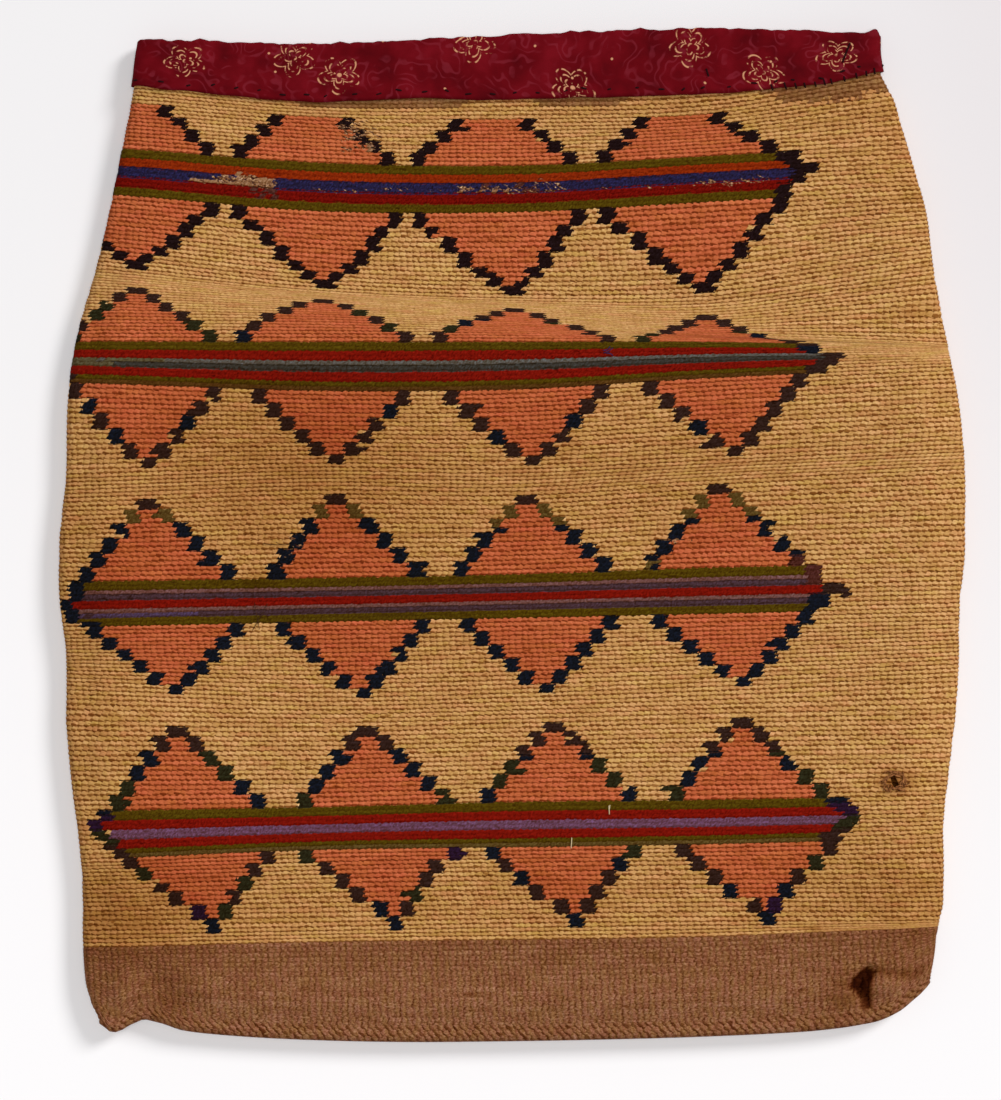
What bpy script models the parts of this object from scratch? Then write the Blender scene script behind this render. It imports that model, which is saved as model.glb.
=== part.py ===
"""A flat twined corn husk bag, lying on its back with its mouth towards +Y.

The bag is one seamless woven pouch with four bands of stepped diamonds, a strip of printed
cotton folded over its rim, and the sewing thread that holds the strip. Its origin is the
middle of its footprint, on the surface that it lies on.
"""

import math

import bmesh
import bpy

MM = 0.001

# Woven body
BAG_WIDTH = 450.0 * MM  # between the side folds at the widest place
BAG_HEIGHT = 501.0 * MM  # from the bottom fold to the woven rim
BODY_THICK = 15.0 * MM  # both walls and the air between them
WALL = 2.2 * MM
FOLD_RADIUS = 4.2 * MM  # outside radius of the side and bottom folds
FOLD_ROLL = 18.0 * MM  # width over which a face eases from a fold to its full height
RIDGE_DEPTH = 0.7 * MM  # groove between two ridges of weave
BOTTOM_SAG = 7.0 * MM  # how far the bottom hangs lower in the middle
RIPPLE = 0.9 * MM  # height of the soft cross ripple in the upper half

# Corners and damage
ROUND_CORNER_WIDE = 26.0 * MM  # the right bottom corner
ROUND_CORNER_HIGH = 22.0 * MM
NOTCH_DEPTH = 5.0 * MM  # dent in the bottom fold beside the left corner
NOTCH_HALF_WIDTH = 9.0 * MM
NOTCH_INSET = 27.0 * MM  # from the left fold
HOLE_INSET = 25.0 * MM  # worn hole, from the right fold
HOLE_HEIGHT = 131.0 * MM  # worn hole, above the bottom
HOLE_WIDE = 5.0 * MM
HOLE_HIGH = 6.5 * MM
HOLE_CORNERS = 9

# Mouth: binding strip and sewing thread
MOUTH_GAP = 5.0 * MM  # between the inner legs of the binding
CLOTH = 0.7 * MM  # doubled cotton
BINDING_OUT = 31.0 * MM  # depth of the outer leg at the middle
HEM_RISE_LEFT = 9.0 * MM  # how much shallower the strip is at the left fold
HEM_RISE_RIGHT = 12.0 * MM
BINDING_IN = 20.0 * MM  # depth of the inner leg
THREAD = 0.5 * MM
TICK_LENGTH = 3.0 * MM  # each stitch over the hem
TICK_SPACING = 10.0 * MM
CLEARANCE = 0.35 * MM
FLOOR_GAP = 0.2 * MM  # under the stitches at the back of the mouth
MOUTH_FLAT = 36.0 * MM  # the walls run level from the rim down to here
MOUTH_EASE = 40.0 * MM  # and ease to the body's height over this length

# Pattern, counted in stitches across and courses up
STITCHES_ACROSS = 133  # at the widest place
PATTERN_SLANT = 0.1  # the pattern leans right by this much going down
PATTERN_LEFT = 34.5 * MM  # the bands' middle lies this far left of the bag's, at mid height
DIAMONDS = 4
DIAMOND_SPACING = 28
BLOCK = 2  # an outline block is this many stitches wide
GROUP = 3  # and this many courses high
STEPS = 5  # groups from a diamond's tip to its stripes
CUT_STEPS = 4  # groups that the top band has room for under the mouth
TIP_HALF = 1.5  # half width of a diamond's tip, in stitches
TIP = 2  # courses in a tip
STRIPE = 2  # courses in a stripe
PLAIN_RIDGE = 3  # courses in a ridge of the plain field
POINT_STEPS = (0.0, 2.0, 3.5, 2.0, 0.0)  # how far a band's ends reach out, per stripe

# Stripe colours of each band, from the bottom up
STRIPES = {
    "stripes_4": ("olive", "red", "purple", "red", "olive"),
    "stripes_3": ("olive", "purple", "red", "purple", "olive"),
    "stripes_2": ("olive", "red", "blue", "red", "olive"),
    "stripes_1": ("olive", "red", "blue", "orange", "olive"),
}
BAND = STRIPE * len(POINT_STEPS)
HALF = TIP + STEPS * GROUP

# One zone of courses after another, from the bottom up: what it is, its courses, how wide
# they lie, and how many plain courses its top edge is lifted at the left and right folds
ZONES = [
    ("base", 20, 1.12, -1.1, 1.1),
    ("plain", 4, 0.95, -1.1, 0.9),
    ("lower", HALF, 0.96, -1.3, 1.6),
    ("stripes_4", BAND, 1.00, -1.3, 1.6),
    ("upper", HALF, 1.07, -1.1, 1.6),
    ("plain", 7, 1.02, 0.7, 2.4),
    ("lower", HALF, 0.96, -1.8, 2.7),
    ("stripes_3", BAND, 0.96, -1.3, 2.9),
    ("upper", HALF, 1.02, -1.6, 4.2),
    ("plain", 8, 1.03, -0.4, 4.4),
    ("lower", HALF, 0.90, 1.6, 5.8),
    ("stripes_2", BAND, 1.07, 0.2, 1.1),
    ("upper", HALF, 0.45, 4.7, 2.0),
    ("plain", 7, 0.60, 6.0, 6.2),
    ("lower", HALF, 0.99, 4.0, 7.6),
    ("stripes_1", BAND, 1.04, 4.0, 6.9),
    ("cut_upper", CUT_STEPS * GROUP, 0.91, 3.8, 4.9),
    ("plain", 4, 1.04, 2.6, 3.8),
    ("mouth", 13, 1.04, -0.4, 1.1),
]

# Side folds: share of the height, and share of half the width
LEFT_FOLD = [
    (0.00, 0.915), (0.08, 0.945), (0.23, 0.960), (0.34, 0.987), (0.44, 1.000), (0.63, 0.985),
    (0.74, 0.942), (0.85, 0.876), (0.95, 0.847), (1.00, 0.831),
]
RIGHT_FOLD = [
    (0.00, 0.925), (0.11, 0.940), (0.27, 0.965), (0.40, 0.989), (0.50, 1.000), (0.63, 0.987),
    (0.72, 0.953), (0.87, 0.893), (0.95, 0.845), (1.00, 0.816),
]

# Colours: red, green, blue, and roughness
YARNS = {
    "husk": (0.47, 0.24, 0.085, 0.75),
    "salmon": (0.46, 0.105, 0.035, 0.85),
    "dark": (0.018, 0.009, 0.007, 0.9),
    "olive": (0.075, 0.055, 0.008, 0.9),
    "red": (0.18, 0.010, 0.005, 0.9),
    "orange": (0.33, 0.032, 0.006, 0.9),
    "blue": (0.035, 0.035, 0.11, 0.9),
    "purple": (0.10, 0.035, 0.035, 0.9),
    "base": (0.25, 0.09, 0.032, 0.85),
}
COTTON = (0.16, 0.008, 0.012, 0.9)
SEWING = (0.03, 0.012, 0.010, 0.8)

# Worked out from the sizes above
STITCH = BAG_WIDTH / STITCHES_ACROSS
COURSES = sum(zone[1] for zone in ZONES)
COURSE = BAG_HEIGHT / sum(zone[1] * zone[2] for zone in ZONES)
LEG = CLEARANCE + CLOTH
BACK_LIFT = FLOOR_GAP + THREAD + CLEARANCE + LEG
MOUTH_TOP = BACK_LIFT + 2 * (WALL + LEG) + MOUTH_GAP
LEVEL_FROM = FOLD_RADIUS + FOLD_ROLL
HALF_ROUND = FOLD_RADIUS * (1 - math.cos(math.pi / 4))
EDGE_STATIONS = (0.0, HALF_ROUND, FOLD_RADIUS, LEVEL_FROM)
BASE_COURSES = ZONES[0][1]
FOLD_COURSES = (0.0, 0.5, 1.7)  # lines that round the bottom fold


def smooth(t):
    """0 below 0, 1 above 1, and an eased climb between."""
    t = min(max(t, 0.0), 1.0)
    return t * t * (3.0 - 2.0 * t)


def curve_through(points, t):
    """A smooth curve through (t, value) points."""
    i = 0
    while i < len(points) - 2 and t > points[i + 1][0]:
        i += 1
    (t0, a), (t1, b) = points[i], points[i + 1]
    before = points[max(i - 1, 0)]
    after = points[min(i + 2, len(points) - 1)]
    slope_a = (b - before[1]) / (t1 - before[0])
    slope_b = (after[1] - a) / (after[0] - t0)
    span = t1 - t0
    s = min(max((t - t0) / span, 0.0), 1.0)
    return (
        a * (1 + 2 * s) * (1 - s) ** 2
        + slope_a * span * s * (1 - s) ** 2
        + b * s * s * (3 - 2 * s)
        + slope_b * span * s * s * (s - 1)
    )


def left_fold(y):
    return -0.5 * BAG_WIDTH * curve_through(LEFT_FOLD, y / BAG_HEIGHT)


def right_fold(y):
    return 0.5 * BAG_WIDTH * curve_through(RIGHT_FOLD, y / BAG_HEIGHT)


def bottom_fold(x):
    """Height of the bottom fold: a shallow sag, a notch at the left and a round right corner."""
    left, right = left_fold(0.0), right_fold(ROUND_CORNER_HIGH)
    height = BOTTOM_SAG * (2 * x / (right - left)) ** 2
    from_notch = abs(x - left - NOTCH_INSET) / NOTCH_HALF_WIDTH
    height += NOTCH_DEPTH * (1 - smooth(from_notch))
    into_corner = (x - right + ROUND_CORNER_WIDE) / ROUND_CORNER_WIDE
    into_corner = min(max(into_corner, 0.0), 1.0)
    return height + ROUND_CORNER_HIGH * (1 - math.sqrt(1 - into_corner ** 2))


def guide_course(course):
    """Height of a course at the middle of the bag, and its lift at the left and right folds."""
    height, start, low = 0.0, 0, (0.0, 0.0)
    for _kind, count, spread, left_lift, right_lift in ZONES:
        t = min(max((course - start) / count, 0.0), 1.0)
        left = low[0] + (left_lift - low[0]) * t
        right = low[1] + (right_lift - low[1]) * t
        height += t * count * spread * COURSE
        start += count
        low = (left_lift, right_lift)
        if course <= start:
            break
    return height, left * COURSE, right * COURSE


def guide_height(course, x):
    height, left, right = guide_course(course)
    across = 2 * x / BAG_WIDTH
    return height + 0.5 * (left + right) * across ** 2 + 0.5 * (right - left) * across


def course_height(course, x):
    """Height of a course above the bottom. The lowest ones follow the bottom fold."""
    share = min(course / BASE_COURSES, 1.0)
    full = guide_height(max(course, BASE_COURSES), x)
    return full if share == 1.0 else bottom_fold(x) * (1 - share) + full * share


def at_fold(course, fold):
    """Where a course meets a side fold, as (x, y)."""
    y = course_height(course, fold(BAG_HEIGHT * course / COURSES))
    for _ in range(4):
        x = fold(y)
        y = course_height(course, x)
    return x, y


def near_mouth(y):
    """0 over the body, 1 in the level part below the rim."""
    return smooth((y - BAG_HEIGHT + MOUTH_FLAT + MOUTH_EASE) / MOUTH_EASE)


def tightest_course():
    """The middle of the zone where the courses lie closest, which the ripple follows."""
    tight = min(range(len(ZONES)), key=lambda i: ZONES[i][2])
    return sum(zone[1] for zone in ZONES[:tight]) + 0.5 * ZONES[tight][1]


def front_height(x, y):
    ripple_at = course_height(tightest_course(), x)
    ripple = RIPPLE * math.exp(-(((y - ripple_at) / (8 * COURSE)) ** 2))
    share = near_mouth(y)
    return (BODY_THICK + ripple) * (1 - share) + MOUTH_TOP * share


def back_height(y):
    return BACK_LIFT * near_mouth(y)


def fold_height(y):
    share = near_mouth(y)
    top = BODY_THICK * (1 - share) + MOUTH_TOP * share
    return 0.5 * (top + back_height(y))


def rolled(distance, offset):
    """A fold's quarter round: how far in from the fold, and the share of full height."""
    if distance >= FOLD_RADIUS:
        return distance, 1.0
    angle = math.acos(1 - max(distance, 0.0) / FOLD_RADIUS)
    return FOLD_RADIUS - (FOLD_RADIUS + offset) * math.cos(angle), math.sin(angle)


def wall_point(face, x, y, offset):
    """A point of the bag's wall. face is 1 for the front and -1 for the back, and offset is
    how far it lies outside the wall's outer surface."""
    left, right = left_fold(y), right_fold(y)
    from_left, from_right = x - left, right - x
    from_bottom = y - bottom_fold(x)
    if from_left < from_right:
        inset, side = rolled(from_left, offset)
        new_x = left + inset
    else:
        inset, side = rolled(from_right, offset)
        new_x = right - inset
    inset, low = rolled(from_bottom, offset)
    new_y = y - from_bottom + inset
    ease = smooth((min(from_left, from_right) - FOLD_RADIUS) / FOLD_ROLL)
    ease *= smooth((from_bottom - FOLD_RADIUS) / FOLD_ROLL)
    middle = fold_height(y)
    full = front_height(x, y) if face > 0 else back_height(y)
    z = middle + face * (FOLD_RADIUS + offset) * side * low
    z += ease * (full - middle - face * FOLD_RADIUS)
    return new_x, new_y, z


def pattern_x(stitch, y):
    """Place across the bag of a stitch, counted from the middle of the bands."""
    middle = -PATTERN_LEFT - PATTERN_SLANT * (y - 0.5 * BAG_HEIGHT)
    return middle + stitch * STITCH


def band_centres():
    first = -0.5 * (DIAMONDS - 1) * DIAMOND_SPACING
    return [first + i * DIAMOND_SPACING for i in range(DIAMONDS)]


def tip_fields():
    return [(c - TIP_HALF, c + TIP_HALF, "dark") for c in band_centres()]


def group_fields(step):
    """A row of diamonds, step groups away from their tips."""
    half = TIP_HALF + BLOCK * step
    fields = []
    for c in band_centres():
        fields.append((c - half - BLOCK, c - half, "dark"))
        fields.append((c - half, c + half, "salmon"))
        fields.append((c + half, c + half + BLOCK, "dark"))
    return fields


def stripe_fields(colour, end):
    """A stripe through all the diamonds, closed by a dark block at each end."""
    first, last = band_centres()[0], band_centres()[-1]
    return [
        (first - end - BLOCK, first - end, "dark"),
        (first - end, last + end, colour),
        (last + end, last + end + BLOCK, "dark"),
    ]


def zone_rows(kind, count):
    """The rows of one zone from its bottom up, each as (courses, ground, fields)."""
    if kind in STRIPES:
        widest = TIP_HALF + BLOCK * STEPS
        ends = zip(STRIPES[kind], POINT_STEPS)
        return [(STRIPE, "husk", stripe_fields(colour, widest + reach)) for colour, reach in ends]
    if kind == "lower":
        groups = [(GROUP, "husk", group_fields(step)) for step in range(STEPS)]
        return [(TIP, "husk", tip_fields())] + groups
    if kind == "upper":
        groups = [(GROUP, "husk", group_fields(step)) for step in reversed(range(STEPS))]
        return groups + [(TIP, "husk", tip_fields())]
    if kind == "cut_upper":
        steps = range(STEPS - CUT_STEPS, STEPS)
        return [(GROUP, "husk", group_fields(step)) for step in reversed(steps)]
    if kind == "mouth":
        return []
    ridges = max(round(count / PLAIN_RIDGE), 1)
    ground = "base" if kind == "base" else "husk"
    return [(count / ridges, ground, [])] * ridges


def weave_rows():
    """All rows of weave from the bottom up, each as (first, last course, ground, fields)."""
    rows = []
    start = 0.0
    for kind, count, _spread, _left, _right in ZONES:
        low = start
        for high, ground, fields in zone_rows(kind, count):
            rows.append((low, low + high, ground, fields))
            low += high
        start += count
    return rows


def material(name, colour):
    made = bpy.data.materials.new(name)
    made.use_nodes = True
    shader = made.node_tree.nodes["Principled BSDF"]
    shader.inputs["Base Color"].default_value = (*colour[:3], 1.0)
    shader.inputs["Roughness"].default_value = colour[3]
    made.diffuse_color = (*colour[:3], 1.0)
    return made


def finish(name, mesh, materials):
    """A named object from a bmesh, with its faces turned outwards."""
    bmesh.ops.recalc_face_normals(mesh, faces=mesh.faces[:])
    data = bpy.data.meshes.new(name)
    mesh.to_mesh(data)
    mesh.free()
    for made in materials:
        data.materials.append(made)
    made = bpy.data.objects.new(name, data)
    bpy.context.scene.collection.objects.link(made)
    return made


def zip_chains(mesh, low, high, colour_at):
    """Triangles between two chains of (key, vertex), each sorted by key. colour_at gives a
    material index from a key."""
    i = j = 0
    while i < len(low) - 1 or j < len(high) - 1:
        ahead_low = low[i + 1][0] if i < len(low) - 1 else math.inf
        ahead_high = high[j + 1][0] if j < len(high) - 1 else math.inf
        if ahead_low <= ahead_high:
            corners = (low[i], low[i + 1], high[j])
            i += 1
        else:
            corners = (low[i], high[j + 1], high[j])
            j += 1
        if len({vertex for _key, vertex in corners}) == 3:
            keys = [key for key, _vertex in corners]
            face = mesh.faces.new([vertex for _key, vertex in corners])
            face.material_index = colour_at(0.5 * (min(keys) + max(keys)))


def stations(left, right):
    """Places across the bag that every line of vertices has, from fold to fold."""
    level_left, level_right = left + LEVEL_FROM, right - LEVEL_FROM
    middle = [level_left + (level_right - level_left) * i / 4 for i in range(1, 4)]
    return [left + d for d in EDGE_STATIONS] + middle + [right - d for d in reversed(EDGE_STATIONS)]


def corner_stations(left, right):
    """More places for the lowest courses, round the notch and the right corner."""
    notch = [left + NOTCH_INSET + NOTCH_HALF_WIDTH * share for share in (-0.5, 0.0, 0.5, 1.0)]
    return notch + [right - ROUND_CORNER_WIDE * share for share in (0.6, 0.35)]


def border_places(course, left, right, borders):
    """Where a course crosses the colour borders between its folds, as (x, stitch)."""
    places = []
    for stitch in sorted(set(borders)):
        x = 0.0
        for _ in range(4):
            x = pattern_x(stitch, course_height(course, x))
        if left + FOLD_RADIUS + 0.3 * STITCH < x < right - FOLD_RADIUS - 0.3 * STITCH:
            places.append((x, stitch))
    return places


def front_line(mesh, course, depth, borders):
    """One line of vertices across the front, with a vertex at each colour border."""
    left, right = at_fold(course, left_fold), at_fold(course, right_fold)
    places = border_places(course, left[0], right[0], borders)
    kept = [x for x, _stitch in places]
    fixed = stations(left[0], right[0])
    if course < BASE_COURSES:
        fixed += corner_stations(left[0], right[0])
    for x in fixed:
        at_round = min(x - left[0], right[0] - x) < FOLD_RADIUS + 0.1 * MM
        if at_round or all(abs(x - other) > 0.5 * STITCH for other in kept):
            places.append((x, None))
    line = []
    for x, stitch in sorted(places, key=lambda place: place[0]):
        y = course_height(course, x)
        fade = smooth((min(x - left[0], right[0] - x) - FOLD_RADIUS) / FOLD_RADIUS)
        fade *= smooth((y - bottom_fold(x) - FOLD_RADIUS) / FOLD_RADIUS)
        if stitch is None:
            stitch = (x - pattern_x(0.0, y)) / STITCH
        line.append((stitch, mesh.verts.new(wall_point(1, x, y, -depth * fade))))
    return line


def plain_line(mesh, face, course, offset, ends=None):
    """A line of vertices at the stations alone. ends are its two fold vertices, if made."""
    left, right = at_fold(course, left_fold)[0], at_fold(course, right_fold)[0]
    places = stations(left, right)
    points = [wall_point(face, x, course_height(course, x), offset) for x in places]
    if ends is None:
        return [mesh.verts.new(point) for point in points]
    return [ends[0], *(mesh.verts.new(point) for point in points[1:-1]), ends[1]]


def by_x(line):
    return [(vertex.co.x, vertex) for vertex in line]


def by_y(line):
    return [(vertex.co.y, vertex) for vertex in line]


def add_grid(mesh, lines, colour):
    """Quads between lines with the same number of vertices."""
    for low, high in zip(lines, lines[1:]):
        for i in range(len(low) - 1):
            corners = (low[i], low[i + 1], high[i + 1], high[i])
            if len(set(corners)) == 4:
                face = mesh.faces.new(corners)
                face.material_index = colour


def field_colour(colours, ground, fields):
    """A function from a stitch to the material index of a row's field there."""

    def colour_at(key):
        for low, high, colour in fields:
            if low <= key < high:
                return colours.index(colour)
        return colours.index(ground)

    return colour_at


def front_face(mesh, colours):
    """The ridged and coloured front. Gives its lines of vertices, bottom to rim."""
    plain = field_colour(colours, "base", [])
    lines = [front_line(mesh, course, 0.0, []) for course in FOLD_COURSES[:-1]]
    looks = [plain] * len(lines)
    borders = []
    for low, high, ground, fields in weave_rows():
        low = max(low, FOLD_COURSES[-1])
        edges = [edge for field in fields for edge in field[:2]]
        lines.append(front_line(mesh, low, RIDGE_DEPTH, borders + edges))
        lines.append(front_line(mesh, 0.5 * (low + high), 0.0, edges))
        looks += [field_colour(colours, ground, fields)] * 2
        borders = edges
    lines.append(front_line(mesh, high, RIDGE_DEPTH, borders))
    lines.append(front_line(mesh, COURSES, 0.0, []))
    looks.append(plain)
    for low, high, look in zip(lines, lines[1:], looks):
        zip_chains(mesh, low, high, look)
    return [[vertex for _key, vertex in line] for line in lines]


def back_face(mesh, front, husk, base):
    """The plain back, which shares the front's fold and bottom vertices. Gives its rim."""
    level = COURSES - MOUTH_FLAT / COURSE
    steps = 12
    courses = [*FOLD_COURSES[1:], 0.5 * BASE_COURSES]
    courses += [BASE_COURSES + (level - BASE_COURSES) * i / steps for i in range(steps + 1)]
    lines = [plain_line(mesh, -1, course, 0.0) for course in courses]
    for line in lines:
        mesh.verts.remove(line.pop(0))
        mesh.verts.remove(line.pop())
    rim = plain_line(mesh, -1, COURSES, 0.0, (front[-1][0], front[-1][-1]))
    add_grid(mesh, lines[:4], base)
    add_grid(mesh, [*lines[3:], rim[1:-1]], husk)
    zip_chains(mesh, by_x(front[0][1:-1]), by_x(lines[0]), lambda key: base)
    base_top = lines[3][0].co.y
    for end, beside in ((0, 1), (-1, -2)):
        fold = [line[end] for line in front]
        inner = [front[0][beside], *(line[end] for line in lines), rim[beside]]
        zip_chains(mesh, by_y(fold), by_y(inner), lambda key: base if key < base_top else husk)
    return rim


def inside(mesh, husk):
    """The inner surface of both walls. Gives its front and back rims."""
    level = COURSES - MOUTH_FLAT / COURSE
    steps = 9
    courses = [*FOLD_COURSES, 0.5 * BASE_COURSES]
    courses += [BASE_COURSES + (level - BASE_COURSES) * i / steps for i in range(steps + 1)]
    front, back = [], []
    for course in [*courses, COURSES]:
        line = plain_line(mesh, 1, course, -WALL)
        front.append(line)
        shared = (line[0], line[-1])
        back.append(plain_line(mesh, -1, course, -WALL, shared) if course > 0 else line)
    add_grid(mesh, front, husk)
    add_grid(mesh, back, husk)
    return front[-1], back[-1]


def worn_hole():
    """A cutter for the small hole worn through the front near the right fold."""
    x = right_fold(HOLE_HEIGHT) - HOLE_INSET
    mesh = bmesh.new()
    low = fold_height(HOLE_HEIGHT)
    high = BODY_THICK + 2 * RIPPLE + WALL
    rings = ([], [])
    for i in range(HOLE_CORNERS):
        turn = 2 * math.pi * i / HOLE_CORNERS
        ragged = 1 + 0.18 * math.sin(3.0 * turn + 0.7)
        dx = 0.5 * HOLE_WIDE * ragged * math.cos(turn)
        dy = 0.5 * HOLE_HIGH * ragged * math.sin(turn)
        for ring, z in zip(rings, (low, high)):
            ring.append(mesh.verts.new((x + dx, HOLE_HEIGHT + dy, z)))
    for i in range(HOLE_CORNERS):
        j = (i + 1) % HOLE_CORNERS
        mesh.faces.new((rings[0][i], rings[0][j], rings[1][j], rings[1][i]))
    mesh.faces.new(rings[0])
    mesh.faces.new(rings[1])
    cutter = finish("hole_cutter", mesh, [])
    cutter.hide_render = True
    cutter.display_type = "WIRE"
    return cutter


def twined_body(cutter):
    """The woven pouch: ridged front, plain back, and the hollow between them."""
    names = list(YARNS)
    husk = names.index("husk")
    mesh = bmesh.new()
    front = front_face(mesh, names)
    back_rim = back_face(mesh, front, husk, names.index("base"))
    inner_front, inner_back = inside(mesh, husk)
    zip_chains(mesh, by_x(front[-1]), by_x(inner_front), lambda key: husk)
    zip_chains(mesh, by_x(back_rim), by_x(inner_back), lambda key: husk)
    body = finish("twined_body", mesh, [material(name, YARNS[name]) for name in names])
    cut = body.modifiers.new("worn_hole", "BOOLEAN")
    cut.operation = "DIFFERENCE"
    cut.solver = "EXACT"
    cut.object = cutter
    return body


def hem_depth(x):
    """Depth of the binding below the woven rim, shallower towards the folds."""
    across = x / (0.5 * BAG_WIDTH)
    if across < 0:
        rise, end = HEM_RISE_LEFT, LEFT_FOLD[-1][1]
    else:
        rise, end = HEM_RISE_RIGHT, RIGHT_FOLD[-1][1]
    return BINDING_OUT - rise * min((across / end) ** 2, 1.0)


def mouth_point(face, place, below, offset):
    """A point near the mouth. place is as in place_x, below is its depth under the rim, and
    offset is how far out from the wall's outer surface it lies."""
    rim = course_height(COURSES, place_x(place, BAG_HEIGHT))
    y = rim - max(below, 0.0)
    x = place_x(place, y)
    across, _y, z = wall_point(face, x, y, offset)
    return across, rim - below, z


def place_x(place, y):
    """Place across the bag: ("left", d) or ("right", d) in from a fold, or ("level", share)."""
    left, right = left_fold(y), right_fold(y)
    kind, value = place
    if kind == "left":
        return left + value
    if kind == "right":
        return right - value
    return left + LEVEL_FROM + value * (right - left - 2 * LEVEL_FROM)


def mouth_places(count, extra=()):
    """Places around the mouth, as (face, place): along the front, then back along the back."""
    shares = sorted([i / count for i in range(1, count)] + list(extra))
    across = [("left", d) for d in EDGE_STATIONS] + [("level", share) for share in shares]
    across += [("right", d) for d in reversed(EDGE_STATIONS)]
    front = [(1, place) for place in across]
    back = [(-1, place) for place in reversed(across[1:-1])]
    return front + back


def mouth_binding():
    """The cotton strip folded over the rim, all round the mouth."""
    mesh = bmesh.new()
    rings = []
    inner = -WALL - CLEARANCE
    for face, place in mouth_places(16):
        hem = hem_depth(place_x(place, BAG_HEIGHT))
        profile = [
            (LEG, hem), (LEG, -CLEARANCE), (CLEARANCE, -LEG), (inner, -LEG),
            (inner - CLOTH, -CLEARANCE), (inner - CLOTH, BINDING_IN), (inner, BINDING_IN),
            (inner, -CLEARANCE), (CLEARANCE, -CLEARANCE), (CLEARANCE, hem),
        ]
        points = [mouth_point(face, place, below, offset) for offset, below in profile]
        rings.append([mesh.verts.new(point) for point in points])
    join_rings(mesh, rings)
    return finish("mouth_binding", mesh, [material("printed_cotton", COTTON)])


def join_rings(mesh, rings):
    """A closed tube from rings of vertices, the last joined to the first."""
    for ring, after in zip(rings, rings[1:] + rings[:1]):
        for i in range(len(ring)):
            j = (i + 1) % len(ring)
            mesh.faces.new((ring[i], ring[j], after[j], after[i]))


def seam_thread():
    """The sewing thread: a run below the hem, with a stitch over the hem every few steps."""
    mesh = bmesh.new()
    width = right_fold(BAG_HEIGHT) - left_fold(BAG_HEIGHT) - 2 * LEVEL_FROM
    count = int(width / TICK_SPACING)
    starts = [(i + 0.5) * TICK_SPACING / width for i in range(count)]
    ends = [share + THREAD / width for share in starts]
    places = mouth_places(1, starts + ends)
    rings, arms = [], {}
    over = LEG + CLEARANCE
    for n, (face, place) in enumerate(places):
        hem = hem_depth(place_x(place, BAG_HEIGHT))
        near, far = hem + CLEARANCE, hem + CLEARANCE + THREAD
        run = [
            (CLEARANCE, far), (CLEARANCE + THREAD, far),
            (CLEARANCE + THREAD, near), (CLEARANCE, near),
        ]
        points = [mouth_point(face, place, below, offset) for offset, below in run]
        rings.append([mesh.verts.new(point) for point in points])
        kind, share = place
        if kind == "level" and (share in starts or share in ends):
            reach = hem - TICK_LENGTH
            arm = [(over + THREAD, far), (over + THREAD, reach), (over, reach), (over, near)]
            points = [mouth_point(face, place, below, offset) for offset, below in arm]
            arms[n] = [mesh.verts.new(point) for point in points]
    for n, ring in enumerate(rings):
        after = (n + 1) % len(rings)
        face, place = places[n]
        far_start = place[1] in (starts if face > 0 else ends)
        stitch = n in arms and after in arms and far_start
        for i in range(4):
            j = (i + 1) % 4
            if stitch and i == 1:
                continue
            mesh.faces.new((ring[i], ring[j], rings[after][j], rings[after][i]))
        if stitch:
            here = [ring[1], *arms[n], ring[2]]
            there = [rings[after][1], *arms[after], rings[after][2]]
            for i in range(len(here) - 1):
                mesh.faces.new((here[i], here[i + 1], there[i + 1], there[i]))
            mesh.faces.new(here)
            mesh.faces.new(there)
    return finish("seam_thread", mesh, [material("sewing_thread", SEWING)])


def footprint_middle(pieces):
    """The middle of the pieces' shared length, along Y."""
    heights = [vertex.co.y for piece in pieces for vertex in piece.data.vertices]
    return 0.5 * (min(heights) + max(heights))


def clear_scene():
    for thing in list(bpy.data.objects):
        bpy.data.objects.remove(thing, do_unlink=True)


clear_scene()
bag = bpy.data.objects.new("bag", None)
bpy.context.scene.collection.objects.link(bag)
cutter = worn_hole()
parts = [twined_body(cutter), mouth_binding(), seam_thread()]
bag.location = (0.0, -footprint_middle(parts), 0.0)
for piece in [*parts, cutter]:
    piece.parent = bag
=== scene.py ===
import math
import random

import bmesh
import bpy
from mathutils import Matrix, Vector, noise


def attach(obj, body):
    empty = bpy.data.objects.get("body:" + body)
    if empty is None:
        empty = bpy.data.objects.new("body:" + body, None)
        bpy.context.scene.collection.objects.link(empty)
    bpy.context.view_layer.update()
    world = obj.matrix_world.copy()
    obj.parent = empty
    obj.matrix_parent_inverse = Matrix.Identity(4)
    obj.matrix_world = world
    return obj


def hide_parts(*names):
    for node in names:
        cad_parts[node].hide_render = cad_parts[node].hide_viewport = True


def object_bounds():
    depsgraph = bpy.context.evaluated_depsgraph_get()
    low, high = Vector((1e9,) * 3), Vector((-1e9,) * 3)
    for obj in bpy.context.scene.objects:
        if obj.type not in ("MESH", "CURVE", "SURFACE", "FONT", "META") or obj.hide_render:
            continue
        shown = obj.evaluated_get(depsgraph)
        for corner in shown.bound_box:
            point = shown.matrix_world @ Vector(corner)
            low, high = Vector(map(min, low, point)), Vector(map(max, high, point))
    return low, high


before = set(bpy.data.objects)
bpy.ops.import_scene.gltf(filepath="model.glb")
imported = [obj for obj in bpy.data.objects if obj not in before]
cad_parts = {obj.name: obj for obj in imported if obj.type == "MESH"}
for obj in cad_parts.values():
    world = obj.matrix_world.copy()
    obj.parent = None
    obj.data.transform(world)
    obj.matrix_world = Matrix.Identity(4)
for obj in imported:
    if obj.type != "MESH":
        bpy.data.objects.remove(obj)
cad_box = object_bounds()

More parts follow.
